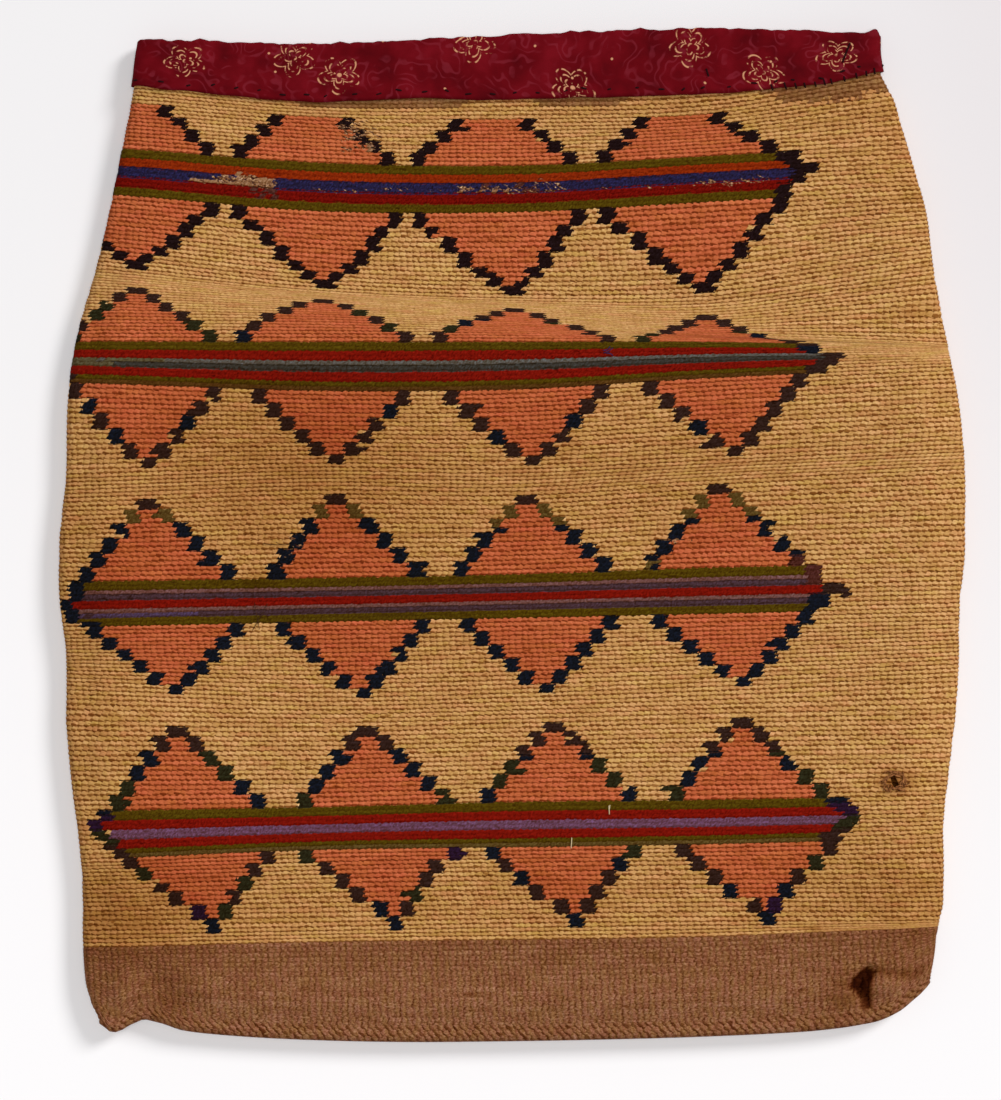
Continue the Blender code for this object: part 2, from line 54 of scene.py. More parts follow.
# The woven pouch. One seamless wall of plied plant cord, twined round and round from the bottom
# up and faced with strips of corn husk, with dyed wool worked in for the bands of diamonds.
# Its sides and its bottom are folds, so nothing joins it anywhere.
MM = 0.001
POUCH_WIDE = 453 * MM  # between the side folds at the widest place
POUCH_HIGH = 501 * MM  # from the bottom fold to the woven rim, at the middle
POUCH_THICK = 15 * MM
WALL = 2.2 * MM
FOLD_RADIUS = 4.2 * MM
FOLD_QUARTER = 0.5 * math.pi * FOLD_RADIUS  # the wall's run from a fold's outermost line to a face
FOLD_ROLL = 18 * MM  # how far in from the folds the faces reach their full height
STITCH = POUCH_WIDE / 133
BOTTOM = cad_box[0].y  # the bottom fold; heights below are measured from it
MOUTH_FLAT = 36 * MM  # the level part below the rim
MOUTH_EASE = 40 * MM  # the slope that leads to it
MOUTH_BACK = 2.1 * MM  # the back wall's lift off the ground at the mouth
MOUTH_TOP = 13.6 * MM  # the front wall's height there
SWELL = 0.9 * MM  # how far the front swells and sinks
BACK_RISE = 0.5 * MM  # the back's courses keep this far above the bottom fold

# Side folds: share of the height, and share of half the width.
LEFT_FOLD = [
    (0.00, 0.909), (0.02, 0.915), (0.04, 0.933), (0.06, 0.944), (0.10, 0.950), (0.17, 0.953),
    (0.26, 0.976), (0.32, 0.988), (0.38, 0.987), (0.44, 1.002), (0.50, 1.002), (0.56, 0.989),
    (0.65, 0.982), (0.71, 0.960), (0.77, 0.922), (0.83, 0.891), (0.89, 0.864), (0.94, 0.842),
    (1.00, 0.822),
]
RIGHT_FOLD = [
    (0.00, 0.918), (0.05, 0.921), (0.08, 0.931), (0.11, 0.940), (0.14, 0.953), (0.22, 0.954),
    (0.27, 0.966), (0.35, 0.985), (0.44, 0.990), (0.48, 1.000), (0.58, 1.000), (0.65, 0.983),
    (0.71, 0.956), (0.77, 0.932), (0.83, 0.914), (0.89, 0.876), (0.94, 0.843), (0.96, 0.820),
    (0.975, 0.810), (1.00, 0.808),
]
# Bottom fold, in mm: place across, height. It sags a little, with a notch at the left and the
# right corner cut off round.
BOTTOM_FOLD = [
    (-225, 18), (-206, 8), (-201, 4.2), (-196, 5.0), (-190, 8.5), (-183, 10.6), (-174, 8.0),
    (-165, 5.0), (-141, 2.4), (-106, 0.4), (-56, -0.8), (0, -0.4), (44, 0.4), (94, 1.8), (144, 4.2),
    (164, 6.2), (174, 7.8), (184, 10.0), (194, 14.8), (201, 20.5), (206, 25.0), (211, 31.5), (225, 50),
]

# The courses don't run level. Height in mm of some of them, at five places across the bag.
LEVEL_PLACES = (-194, -96, 0, 96, 169)
COURSE_LEVELS = [
    (20, (47.3, 49.8, 50.9, 52.4, 55.4)),
    (24, (55.5, 57.3, 59.0, 59.9, 60.2)),
    (27, (62.9, 64.5, 66.1, 67.2, 67.2)),
    (33, (76.2, 79.0, 80.3, 80.9, 81.2)),
    (37, (84.6, 87.6, 89.3, 90.4, 91.0)),
    (41, (91.7, 95.8, 97.1, 98.6, 100.3)),
    (51, (115.5, 117.2, 119.8, 120.8, 122.0)),
    (68, (157.3, 156.8, 158.8, 161.2, 162.5)),
    (75, (174.6, 171.8, 173.8, 177.0, 179.8)),
    (92, (207.5, 209.5, 211.5, 213.5, 215.3)),
    (102, (230.0, 231.5, 233.3, 236.6, 238.3)),
    (119, (270.0, 273.0, 272.4, 277.8, 281.0)),
    (127, (286.2, 288.6, 287.6, 291.9, 295.4)),
    (144, (328.0, 324.8, 325.5, 331.0, 334.5)),
    (154, (349.5, 349.3, 349.3, 349.3, 348.0)),
    (162, (363.4, 361.7, 358.2, 353.4, 350.8)),
    (171, (376.6, 370.5, 366.0, 362.6, 369.5)),
    (178, (386.3, 376.3, 372.8, 374.0, 384.0)),
    (195, (422.5, 414.5, 414.0, 419.0, 423.3)),
    (205, (446.0, 438.8, 437.3, 442.0, 446.3)),
    (217, (469.0, 461.5, 460.5, 463.0, 474.0)),
    (221, (476.5, 468.3, 469.0, 471.5, 482.5)),
    (234, (499.5, 496.8, 501.2, 504.4, 502.4)),
]
BASE_COURSES = 20  # plain brown twining at the bottom
BORDER_COURSES = 3.5  # its thicker twisted border
COURSES = 234

# Nor do the stitches stand straight. Place across in mm of the four columns of diamonds, and of
# one column more near the right fold.
DIAMONDS = (-42, -14, 14, 42)  # their middles, counted in stitches
COLUMNS = (*DIAMONDS, 60)
COLUMN_PLACES = [
    (0, (-148, -57, 34, 129, 190.5)),
    (24, (-151, -60, 30, 126, 187.5)),
    (33, (-154.5, -64, 25.8, 123.5, 185)),
    (41, (-158, -66.5, 23.3, 121, 182.5)),
    (67, (-168, -73, 20, 114, 175.5)),
    (76, (-169, -75, 16, 114, 175.5)),
    (118, (-182, -88, 7, 103, 164.5)),
    (128, (-182.5, -89, 9, 110, 171.5)),
    (170, (-188, -95, 0, 96, 161)),
    (179, (-188, -93.5, 0, 95.5, 161.5)),
    (192, (-189.4, -95, -6, 91.5, 157.5)),
    (200, (-190, -97.5, -9.5, 88.5, 154.5)),
    (215, (-191, -100.5, -10.5, 83, 149)),
    (234, (-192, -103, -12, 80, 146)),
]


def eased(t):
    t = min(max(t, 0.0), 1.0)
    return t * t * (3.0 - 2.0 * t)


def curve_at(points, t):
    """A smooth curve through (t, value) points, straight beyond its ends."""
    i = 0
    while i < len(points) - 2 and t > points[i + 1][0]:
        i += 1
    (t0, a), (t1, b) = points[i], points[i + 1]
    span = t1 - t0
    s = (t - t0) / span
    if not 0.0 <= s <= 1.0:
        return a + (b - a) * s
    before, after = points[max(i - 1, 0)], points[min(i + 2, len(points) - 1)]
    slope_a = (b - before[1]) / (t1 - before[0])
    slope_b = (after[1] - a) / (after[0] - t0)
    return (
        a * (1 + 2 * s) * (1 - s) ** 2 + slope_a * span * s * (1 - s) ** 2
        + b * s * s * (3 - 2 * s) + slope_b * span * s * s * (s - 1)
    )


def left_fold(y):
    return -0.5 * POUCH_WIDE * curve_at(LEFT_FOLD, min(max(y / POUCH_HIGH, 0.0), 1.0))


def right_fold(y):
    return 0.5 * POUCH_WIDE * curve_at(RIGHT_FOLD, min(max(y / POUCH_HIGH, 0.0), 1.0))


def bottom_fold(x):
    return curve_at(BOTTOM_FOLD, x / MM) * MM


def course_line(course):
    """The height of one course as a function of the place across."""
    full = max(course, BASE_COURSES)
    places = []
    for i, place in enumerate(LEVEL_PLACES):
        levels = [(at, heights[i]) for at, heights in COURSE_LEVELS]
        places.append((place * MM, curve_at(levels, full) * MM))
    share = min(course / BASE_COURSES, 1.0)

    def height(x):
        full_height = curve_at(places, x)
        return full_height if share == 1.0 else bottom_fold(x) * (1 - share) + full_height * share

    return height


def stitch_places(course, stitches):
    """The places across the front of some stitches of one course."""
    columns = []
    for i, stitch in enumerate(COLUMNS):
        shifts = [(at, places[i]) for at, places in COLUMN_PLACES]
        columns.append((stitch, curve_at(shifts, course) * MM))
    return [curve_at(columns, stitch) for stitch in stitches]


def near_mouth(y):
    """0 over the body, 1 in the level part below the rim."""
    return eased((y - POUCH_HIGH + MOUTH_FLAT + MOUTH_EASE) / MOUTH_EASE)


# Creases pressed into the front, in mm: from, to, depth and width. A negative depth swells.
CREASES = [
    ((178, 35), (171, 28.5), 5.0, 2.8),
    ((171, 28.5), (177, 19), 5.0, 2.8),
    ((180, 35), (204, 33), 1.5, 2.4),
    ((186, 26), (194, 24), -3.0, 8.0),
    ((-182, 32), (-161, 14), 2.3, 8.0),
    ((-201, 16), (-196, 12), -1.0, 8.0),
    ((-205, 300), (-60, 362), -0.9, 16.0),
    ((-40, 357), (200, 352), -1.3, 10.0),
    ((60, 372), (150, 366), 0.9, 7.0),
    ((-80, 250), (60, 262), 0.8, 22.0),
    ((150, 395), (215, 340), 0.7, 14.0),
    ((-190, 60), (-120, 130), 0.8, 20.0),
]


def crease_depth(x, y):
    pressed = swollen = 0.0
    for (x0, y0), (x1, y1), deep, wide in CREASES:
        px, py = x / MM - x0, y / MM - y0
        dx, dy = x1 - x0, y1 - y0
        along = min(max((px * dx + py * dy) / (dx * dx + dy * dy), 0.0), 1.0)
        gap2 = (px - along * dx) ** 2 + (py - along * dy) ** 2
        if gap2 < 9 * wide * wide:
            here = deep * MM * math.exp(-gap2 / (wide * wide))
            pressed, swollen = max(pressed, here), swollen + min(here, 0.0)
    return pressed + swollen


def front_height(x, y):
    share = near_mouth(y)
    soft = noise.noise(Vector((x * 9, y * 9, 0.3))) + 0.5 * noise.noise(Vector((x * 25, y * 25, 5)))
    body = POUCH_THICK + SWELL * soft - crease_depth(x, y)
    return body * (1 - share) + MOUTH_TOP * share


def fold_height(y):
    share = near_mouth(y)
    return 0.5 * (POUCH_THICK * (1 - share) + (MOUTH_TOP + MOUTH_BACK) * share)


def ends_of_course(line):
    """Where a course meets the two side folds."""
    left, right = left_fold(line(-0.2)), right_fold(line(0.2))
    for _ in range(4):
        left, right = left_fold(line(left)), right_fold(line(right))
    return left, right


def across_face(ends):
    """How far it is along the surface from one side fold to the other."""
    return ends[1] - ends[0] - 2 * FOLD_RADIUS + 2 * FOLD_QUARTER


def wall_place(line, ends, travel, offset):
    """A point of the wall. travel is measured round the pouch along its surface, from the left
    fold across the front and on across the back; offset is how far out from the surface."""
    left, right = ends
    across = across_face(ends)
    travel %= 2 * across
    face = 1 if travel <= across else -1
    if face < 0:
        travel = 2 * across - travel
    from_fold = min(travel, across - travel)
    if from_fold < FOLD_QUARTER:
        turn = from_fold / FOLD_RADIUS
        inset, side = FOLD_RADIUS - (FOLD_RADIUS + offset) * math.cos(turn), math.sin(turn)
    else:
        inset, side = from_fold - FOLD_QUARTER + FOLD_RADIUS, 1.0
    x = left + inset if travel < 0.5 * across else right - inset
    y = line(x)
    above = y - bottom_fold(x)
    if face < 0:
        above = max(above, BACK_RISE * eased(from_fold / (2 * FOLD_RADIUS)))
    low = 1.0
    rise = above
    if above < FOLD_RADIUS:
        turn = math.acos(min(1 - above / FOLD_RADIUS, 1.0))
        rise, low = FOLD_RADIUS - (FOLD_RADIUS + offset) * math.cos(turn), math.sin(turn)
    ease = eased((inset - FOLD_RADIUS) / FOLD_ROLL) * eased((above - FOLD_RADIUS) / FOLD_ROLL)
    middle = fold_height(y)
    full = front_height(x, y) if face > 0 else MOUTH_BACK * near_mouth(y)
    z = middle + face * (FOLD_RADIUS + offset) * side * low
    z += ease * (full - middle - face * FOLD_RADIUS)
    return x, bottom_fold(x) + rise, z


# The yarns, as they look in plain light, with how far their stitches stand out and how woolly
# they are.
YARNS = {
    "husk": ((198, 148, 89), 1.0, 0.0),
    "salmon": ((188, 97, 57), 0.95, 0.05),
    "base": ((138, 90, 57), 1.0, 0.0),
    "bare": ((144, 100, 60), 1.0, 0.0),
    "black": ((27, 13, 12), 0.5, 1.0),
    "umber": ((46, 27, 20), 0.5, 1.0),
    "navy": ((17, 19, 26), 0.4, 1.0),
    "moss": ((84, 62, 25), 0.5, 1.0),
    "deep_green": ((38, 34, 16), 0.5, 1.0),
    "plum": ((38, 18, 36), 0.5, 1.0),
    "maroon": ((72, 34, 26), 0.5, 1.0),
    "olive": ((75, 55, 5), 0.4, 1.0),
    "dim_olive": ((78, 48, 14), 0.45, 1.0),
    "orange": ((126, 36, 5), 0.45, 1.0),
    "red": ((114, 16, 5), 0.4, 1.0),
    "deep_red": ((103, 11, 4), 0.45, 1.0),
    "blue": ((34, 28, 54), 0.4, 1.0),
    "grey_olive": ((84, 72, 46), 0.5, 1.0),
    "pale_slate": ((84, 76, 66), 0.5, 1.0),
    "dark_slate": ((54, 48, 40), 0.45, 1.0),
    "pale_violet": ((104, 66, 58), 0.5, 1.0),
    "violet": ((66, 43, 46), 0.45, 1.0),
    "blue_violet": ((72, 52, 72), 0.45, 1.0),
    "purple": ((98, 60, 76), 0.45, 1.0),
    "worn": ((140, 99, 66), 0.7, 1.0),
    "worn_dark": ((74, 38, 30), 0.6, 1.0),
}

# Each band: the first course of its lower tips, their ends in stitches and their yarn; its own
# first course; the yarns of its ten stripe courses from the bottom up, and how far the ends of each
# reach; the steps of its outline below and above, as courses and the half width inside it; and the
# yarns of the outline below, above and at the upper tips.
OUTLINE = 2  # stitches across the dark outline
HALF_DIAMOND = 11.5  # stitches from a diamond's middle to its side corner
STEPS = [(3, 1.5), (3, 3.5), (3, 5.5), (3, 7.5), (3, 9.5)]
MIXED = ("umber", "deep_green", "plum", "navy", "umber")
BANDS = [
    ((23, 0, 2, "navy"), 24,
     ("moss", "olive", "red", "red", "purple", "purple", "red", "red", "olive", "olive"),
     (-1.5, -1.5, 0.1, 0.1, 1.1, 1.9, 1.9, 1.5, 0.2, 0.2), STEPS, STEPS[::-1], MIXED,
     ("navy", "navy", "deep_green"), "umber"),
    ((75, 0, 2, "navy"), 75,
     ("olive", "olive", "violet", "pale_violet", "red", "red", "violet", "pale_violet", "olive", "olive"),
     (-1.3, 0.5, 0.5, 0.5, 2.3, 2.3, -0.2, -0.2, -0.2, -0.2), STEPS, STEPS[::-1], ("navy",),
     ("navy",), "moss"),
    ((127, 0, 2, "umber"), 127,
     ("dim_olive", "olive", "red", "red", "dark_slate", "pale_slate", "red", "red", "olive", "olive"),
     (0.2, 0.2, 2.2, 2.2, 3.4, 3.0, 0.6, 0.2, 0, 0), STEPS, STEPS[::-1],
     ("umber", "umber", "navy"), ("umber", "umber", "deep_green", "navy"), "umber"),
    ((178, -1, 2, "black"), 178,
     ("olive", "olive", "deep_red", "deep_red", "blue", "blue", "orange", "orange", "olive", "olive"),
     (-0.1, -0.1, -0.1, 1.8, 1.8, 3.1, 3.1, 1.8, 1.0, 1.0),
     [(2, 1), (2, 3), (3, 5), (3, 7), (2, 9), (3, 11)],
     [(3, 10.5), (3, 8.5), (3, 6.5), (3, 4.5)], ("black",), ("black",), "black"),
]
# Where the two sides of a diamond don't match: courses, and how many stitches more to the left
# and to the right in each of the four.
UNEVEN = [
    ((26, 29), (-1, 0, -1, 0, -1, 0, -1, -1)), ((29, 35), (0, 0, 0, 0, 0, 0, 0, -1)),
    ((38, 41), (0, 0, 1, 1, 0, 0, 0, 0)), ((154, 163), (0, 0, 2, 1, 1, 2, 0, 0)),
    ((163, 169), (0, 0, 1, 1, 0, 1, 0, 0)),
]


def more_stitches(course):
    for (first, last), more in UNEVEN:
        if first <= course < last:
            return more
    return (0,) * 8


def diamond_fields(course, half, darks):
    """One course through a row of diamonds, this many stitches from the middle to the outline."""
    fields = []
    more = more_stitches(course)
    for n, middle in enumerate(DIAMONDS):
        low, high = middle - half - more[2 * n], middle + half + more[2 * n + 1]
        fields += [
            [low - OUTLINE, low, darks[2 * n]], [low, high, "salmon"],
            [high, high + OUTLINE, darks[2 * n + 1]],
        ]
    return fields


def stripe_fields(colour, reach, dark):
    first, last = DIAMONDS[0] - HALF_DIAMOND - reach, DIAMONDS[-1] + HALF_DIAMOND + reach
    return [[first - OUTLINE, first, dark], [first, last, colour], [last, last + 2.6, dark]]


def tip_fields(low, high, dark):
    return [[middle + low, middle + high, dark] for middle in DIAMONDS]


chance = random.Random(7)
fields_of_course = [[] for _ in range(COURSES)]
for low_tips, start, stripes, reaches, low_steps, high_steps, dark_low, dark_high, dark_tip in BANDS:
    course = start + 2
    for tip_course in range(low_tips[0], course):
        fields_of_course[tip_course] = tip_fields(*low_tips[1:])
    for deep, half in low_steps:
        darks = [chance.choice(dark_low) for _ in range(8)]
        for _ in range(deep):
            fields_of_course[course] = diamond_fields(course, half, darks)
            course += 1
    for n, colour in enumerate(stripes):
        fields_of_course[course] = stripe_fields(colour, reaches[n], dark_low[n // 3 % len(dark_low)])
        course += 1
    for deep, half in high_steps:
        high_darks = [chance.choice(dark_high) for _ in range(8)]
        for n in range(deep):
            darks = high_darks
            if half == 1.5:
                darks = [dark_tip] * 8
            elif half == 3.5 and n > 0:
                darks = high_darks[:4] + [dark_tip] * 4
            fields_of_course[course] = diamond_fields(course, half, darks)
            course += 1
    if high_steps[-1][1] < 2:
        for _ in range(2):
            fields_of_course[course] = tip_fields(-1.5, 1.5, "umber")
            course += 1
for fields in fields_of_course:
    for left_one, right_one in zip(fields, fields[1:]):
        if left_one[1] == right_one[0] and chance.random() < 0.03:
            left_one[1] = right_one[0] = left_one[1] + chance.choice((-1, 1))
    for field in fields:
        if chance.random() < 0.06 and field[2] != "salmon":
            field[chance.choice((0, 1))] += chance.choice((-0.6, 0.6))

# Places where one yarn shows in place of another: courses, stitches, the yarn that it takes the
# place of, the yarn that shows, and how often.
REPAIRS = [
    ((205, 214), (-10, -4), "black", "worn", 0.45),
    ((205, 214), (-10, -4), "black", "worn_dark", 0.30),
    ((199, 201), (-28, -20), "blue", "worn", 0.95), ((199, 200), (-34, -28), "blue", "worn", 0.9),
    ((201, 202), (-26, -25), "orange", "worn", 1.0),
    ((197, 199), (-24, -20), "deep_red", "worn_dark", 0.75),
    ((199, 200), (8, 22), "blue", "worn", 0.3), ((199, 201), (13, 22), "blue", "worn_dark", 0.3),
    ((148, 150), (-60, -46), "dark_slate", "grey_olive", 1.0),
    ((148, 150), (-60, -38), "pale_slate", "grey_olive", 0.9),
    ((94, 96), (-64, -36), "violet", "blue_violet", 0.9),
    ((99, 101), (-64, -36), "violet", "blue_violet", 0.9),
    ((96, 98), (53, 62), "navy", "umber", 1.0), ((98, 102), (53, 62), "navy", "maroon", 1.0),
    ((102, 104), (51, 54), "navy", "maroon", 1.0), ((95, 97), (58.5, 60), "husk", "umber", 1.0),
    ((102, 104), (26, 40), "navy", "moss", 0.5),
]


def bare_from(stitch):
    """The course from which the rim is left unfaced."""
    patch = max(eased((stitch + 18) / 4) * eased((12 - stitch) / 4),
                eased((stitch - 19) / 3) * eased((36 - stitch) / 3))
    ragged = math.sin(1.9 * stitch) + math.sin(0.8 * stitch)
    return 221.6 - 1.9 * patch - (6.2 + 0.8 * ragged) * eased((stitch - 50) / 11)


def yarn_at(course, stitch):
    """The yarn that shows in one stitch of the front."""
    if course < BASE_COURSES:
        return "base"
    if course >= bare_from(stitch):
        return "bare"
    name = "husk"
    for low, high, yarn in fields_of_course[course]:
        if low <= stitch < high:
            name = yarn
    for courses, stitches, usual, instead, often in REPAIRS:
        if (courses[0] <= course < courses[1] and stitches[0] <= stitch < stitches[1]
                and name == usual and chance.random() < often):
            name = instead
    return name


# Where the wool is worn down to the cord, in mm: middle, half length, half height and strength.
FRAYS = [
    (-137, 430.2, 11, 2.8, 0.56), (-134.6, 433.5, 2.5, 3.0, 0.5), (-150, 430.6, 8, 1.8, 0.50),
    (-125, 428.8, 7, 2.8, 0.52),
    (5, 425.6, 20, 2.2, 0.48), (15, 428.0, 7, 3.0, 0.44), (-25, 425.6, 5, 1.6, 0.55),
    (-70, 425.0, 45, 1.1, 0.34), (60, 426.5, 30, 1.1, 0.30), (100, 428.5, 12, 1.8, 0.42),
    (120, 430.5, 8, 2.4, 0.40), (-110, 250.5, 9, 4.0, 0.42), (-115, 245.0, 6, 3.0, 0.38),
    (83, 252.0, 8, 4.0, 0.40), (-78, 452.0, 12, 8.0, 0.46), (-150, 336.0, 60, 1.2, 0.18),
]


def fray_at(x, y):
    worn = 0.0
    for mx, my, half_long, half_high, strength in FRAYS:
        away = ((x / MM - mx) / half_long) ** 2 + ((y / MM - my) / half_high) ** 2
        if away < 4:
            worn = max(worn, strength * eased(1.6 - 0.8 * away))
    return worn


# Soiled places and painted shade and light, in mm: middle, reach across, reach up and strength.
# Those by the folded lower corners are painted shade in their creases and valleys; one with a
# negative strength is painted light on a raised lobe.
SOIL_AND_SHADE = [
    (183, 35.3, 3, 1.6, 0.45), (189, 34.6, 2.4, 1.6, 0.45), (195, 34.0, 2.4, 1.6, 0.45),
    (202, 33.4, 2.4, 1.6, 0.45), (192, 35.5, 15, 4.6, 0.20), (188, 26, 8, 7, -0.15),
    (165, 25, 8, 10, 0.28), (160, 14, 10, 8, 0.14), (-171, 22, 12, 12, 0.22),
    (191.2, 129.6, 7.5, 5.6, 0.56), (201, 363, 10, 3, 0.22),
    (203, 421, 8, 3, 0.20), (-128, 229, 5, 7, 0.25), (150, 56.5, 5, 1.6, 0.3),
    (-95, 285, 75, 45, 0.26), (-150, 300, 50, 40, 0.10), (70, 283, 90, 32, 0.14),
    (-194, 62, 45, 28, 0.34), (194, 75, 40, 32, 0.18), (20, 70, 240, 24, 0.12),
    (-60, 200, 120, 60, 0.08), (100, 468, 120, 9, 0.14), (-110, 466, 60, 8, 0.10),
    (195, 440, 30, 30, 0.08), (-205, 160, 30, 90, 0.10), (-215, 250, 25, 60, 0.10),
]
# The slot where the lower right corner is folded under itself, painted dark as the shade inside it.
SLOT = [
    (176.5, 36.5), (180.3, 35), (178.4, 30), (178.4, 22), (178.6, 17.5), (175.5, 17), (174.5, 21),
    (172.5, 24.5), (169, 27), (171, 31.5),
]
SLOT_EDGE = 2.0  # how far its shade reaches, in mm


def slot_shade(x, y):
    """1 inside the slot, and 0 a little way out."""
    inside, near = False, math.inf
    for (x0, y0), (x1, y1) in zip(SLOT, SLOT[1:] + SLOT[:1]):
        if (y0 > y) != (y1 > y) and x < x0 + (y - y0) * (x1 - x0) / (y1 - y0):
            inside = not inside
        dx, dy = x1 - x0, y1 - y0
        along = min(max(((x - x0) * dx + (y - y0) * dy) / (dx * dx + dy * dy), 0.0), 1.0)
        near = min(near, math.hypot(x - x0 - along * dx, y - y0 - along * dy))
    return 1.0 if inside else eased(1 - near / SLOT_EDGE)


# How much darker a spot is painted for soil and painted shade; below nothing, how much lighter it is
# painted for light.
def soil_and_shade_at(x, y):
    x, y = x / MM, y / MM
    total = 0.0
    for mx, my, across, up, strength in SOIL_AND_SHADE:
        away = ((x - mx) / across) ** 2 + ((y - my) / up) ** 2
        if away < 5:
            total += strength * math.exp(-away)
    # Inside the slot the colour is painted dark as shade, a little less in its lower left part.
    if 160 < x < 190 and 10 < y < 45:
        lit = 0.35 * eased((27 - y) / 8) * eased((178 - x) / 4)
        total = max(total, (0.97 - lit) * slot_shade(x, y))
    return min(max(total, -0.2), 1.0)


def to_linear(shade):
    """A colour as it looks, from 0 to 255, as the shader wants it."""
    return tuple((c / 255 / 12.92 if c < 10 else ((c / 255 + 0.055) / 1.055) ** 2.4) for c in shade)


def select_only(*chosen):
    """Only these pieces are selected, so that the next tool touches nothing else."""
    bpy.ops.object.select_all(action="DESELECT")
    for piece in chosen:
        piece.select_set(True)
        bpy.context.view_layer.objects.active = piece


# The cloth is laid out with one line to a stitch in front, two where the corner is pinched, and
# few behind.
FIRST_STITCH, LAST_STITCH = -64, 80
PINCHED = (50, 62)
BACK_LINES = 30
BACK_STITCHES = 121
BACK_BARE = 220  # the course from which the back is left unfaced
ASIDE = 0.10 * STITCH  # how far a whole course is shifted
SWAY = 0.22 * STITCH  # how far each of its stitches is
COURSE_GROOVE, BORDER_GROOVE, BASE_GROOVE = 0.4 * MM, 0.5 * MM, 0.2 * MM  # between two courses
FRAYS_ABOVE, SOIL_AND_SHADE_ABOVE = 5 * MM, 3 * MM  # what lies lower gets no wear, soil or painted shade
CLOSE_PITCH, PITCH_EASE = 0.55 * MM, 1.5 * MM  # courses drawn up this close lie flat
LINING_COURSE = 2.25 * MM
LINING_HEIGHTS = (465, 430, 360, 290, 220, 150, 90, 50, 24, 9)  # of its rings, in mm
LINING_END = 1.2  # the course at which it closes
LINING_DIP = 5.5 * MM  # it lies this much lower under the creases of the bottom corners
DIP_HIGH, DIP_EASE = 65 * MM, 25 * MM
line_stitches = [FIRST_STITCH - 0.5]
while line_stitches[-1] < LAST_STITCH + 0.5:
    pinched = PINCHED[0] < line_stitches[-1] < PINCHED[1]
    line_stitches.append(line_stitches[-1] + (0.5 if pinched else 1.0))
FRONT_LINES = len(line_stitches) - 1
back_step = BACK_STITCHES / BACK_LINES
line_stitches += [LAST_STITCH + 0.5 + back_step * (n + 1) for n in range(BACK_LINES)]
LINES = FRONT_LINES + BACK_LINES
ROWS = 2 * COURSES
yarn_of = [
    {stitch: yarn_at(course, stitch) for stitch in range(FIRST_STITCH, LAST_STITCH + 1)}
    for course in range(COURSES)
]

select_only()
bpy.ops.mesh.primitive_grid_add(x_subdivisions=LINES, y_subdivisions=ROWS, size=1)
pouch = bpy.context.object
pouch.name = pouch.data.name = "pouch"
cloth = pouch.data
grid_spots = [
    (round((v.co.x + 0.5) * LINES), round((v.co.y + 0.5) * ROWS)) for v in cloth.vertices
]
pitch_of_course = []
for course in range(COURSES):
    low, high = course_line(course), course_line(course + 1)
    pitch_of_course.append([(p * MM, (high(p * MM) - low(p * MM))) for p in LEVEL_PLACES])
spots = {}
for row in range(ROWS + 1):
    course = 0.5 * row
    line = course_line(course)
    ends = ends_of_course(line)
    around = 2 * across_face(ends)
    stitches = line_stitches[: FRONT_LINES + 1]
    step = ASIDE * noise.noise(Vector((course * 3.7, 11.0, 2.0)))
    travels = []
    for j, x in enumerate(stitch_places(course, stitches)):
        sway = SWAY * noise.noise(Vector((stitches[j] * 0.83, row * 0.91, 4.0)))
        travels.append(x - ends[0] - FOLD_RADIUS + FOLD_QUARTER + sway + step)
    gap = (travels[0] + around - travels[-1]) / BACK_LINES
    travels += [travels[-1] + gap * (n + 1) for n in range(BACK_LINES)]
    for j in range(LINES + 1):
        groove = 0.0
        if row % 2 == 0 and 0 < row < ROWS:
            yarn = yarn_of[row // 2].get(math.floor(line_stitches[j] + 0.5), "husk")
            groove = COURSE_GROOVE * YARNS[yarn][1]
            if course < BASE_COURSES:
                groove = BORDER_GROOVE if course < BORDER_COURSES else BASE_GROOVE
        x, y, z = wall_place(line, ends, travels[j % LINES], -groove)
        spots[j, row] = (x, y + BOTTOM, z)
for vertex, spot in zip(cloth.vertices, grid_spots):
    vertex.co = spots[spot]

# Every stitch keeps its own place in the weave, its yarn and those beside, over and under it, and
# how it is worked: how far it stands out, how ribbed, how much soil and painted shade and light it
# carries, and how woolly it is.
cloth.uv_layers.active.name = "weave"
YARN_LAYERS = {
    "yarn": (0, 0), "yarn_left": (-1, 0), "yarn_right": (1, 0), "yarn_over": (0, 1),
    "yarn_under": (0, -1),
}
for name in [*YARN_LAYERS, "work"]:
    cloth.color_attributes.new(name, "FLOAT_COLOR", "CORNER")


def yarn_near(course, stitch, behind):
    """The yarn of a stitch, also past the ends of the front, and on the plain back."""
    course = min(max(course, 0), COURSES - 1)
    if behind:
        return "base" if course < BASE_COURSES else "bare" if course >= BACK_BARE else "husk"
    return yarn_of[course][min(max(stitch, FIRST_STITCH), LAST_STITCH)]


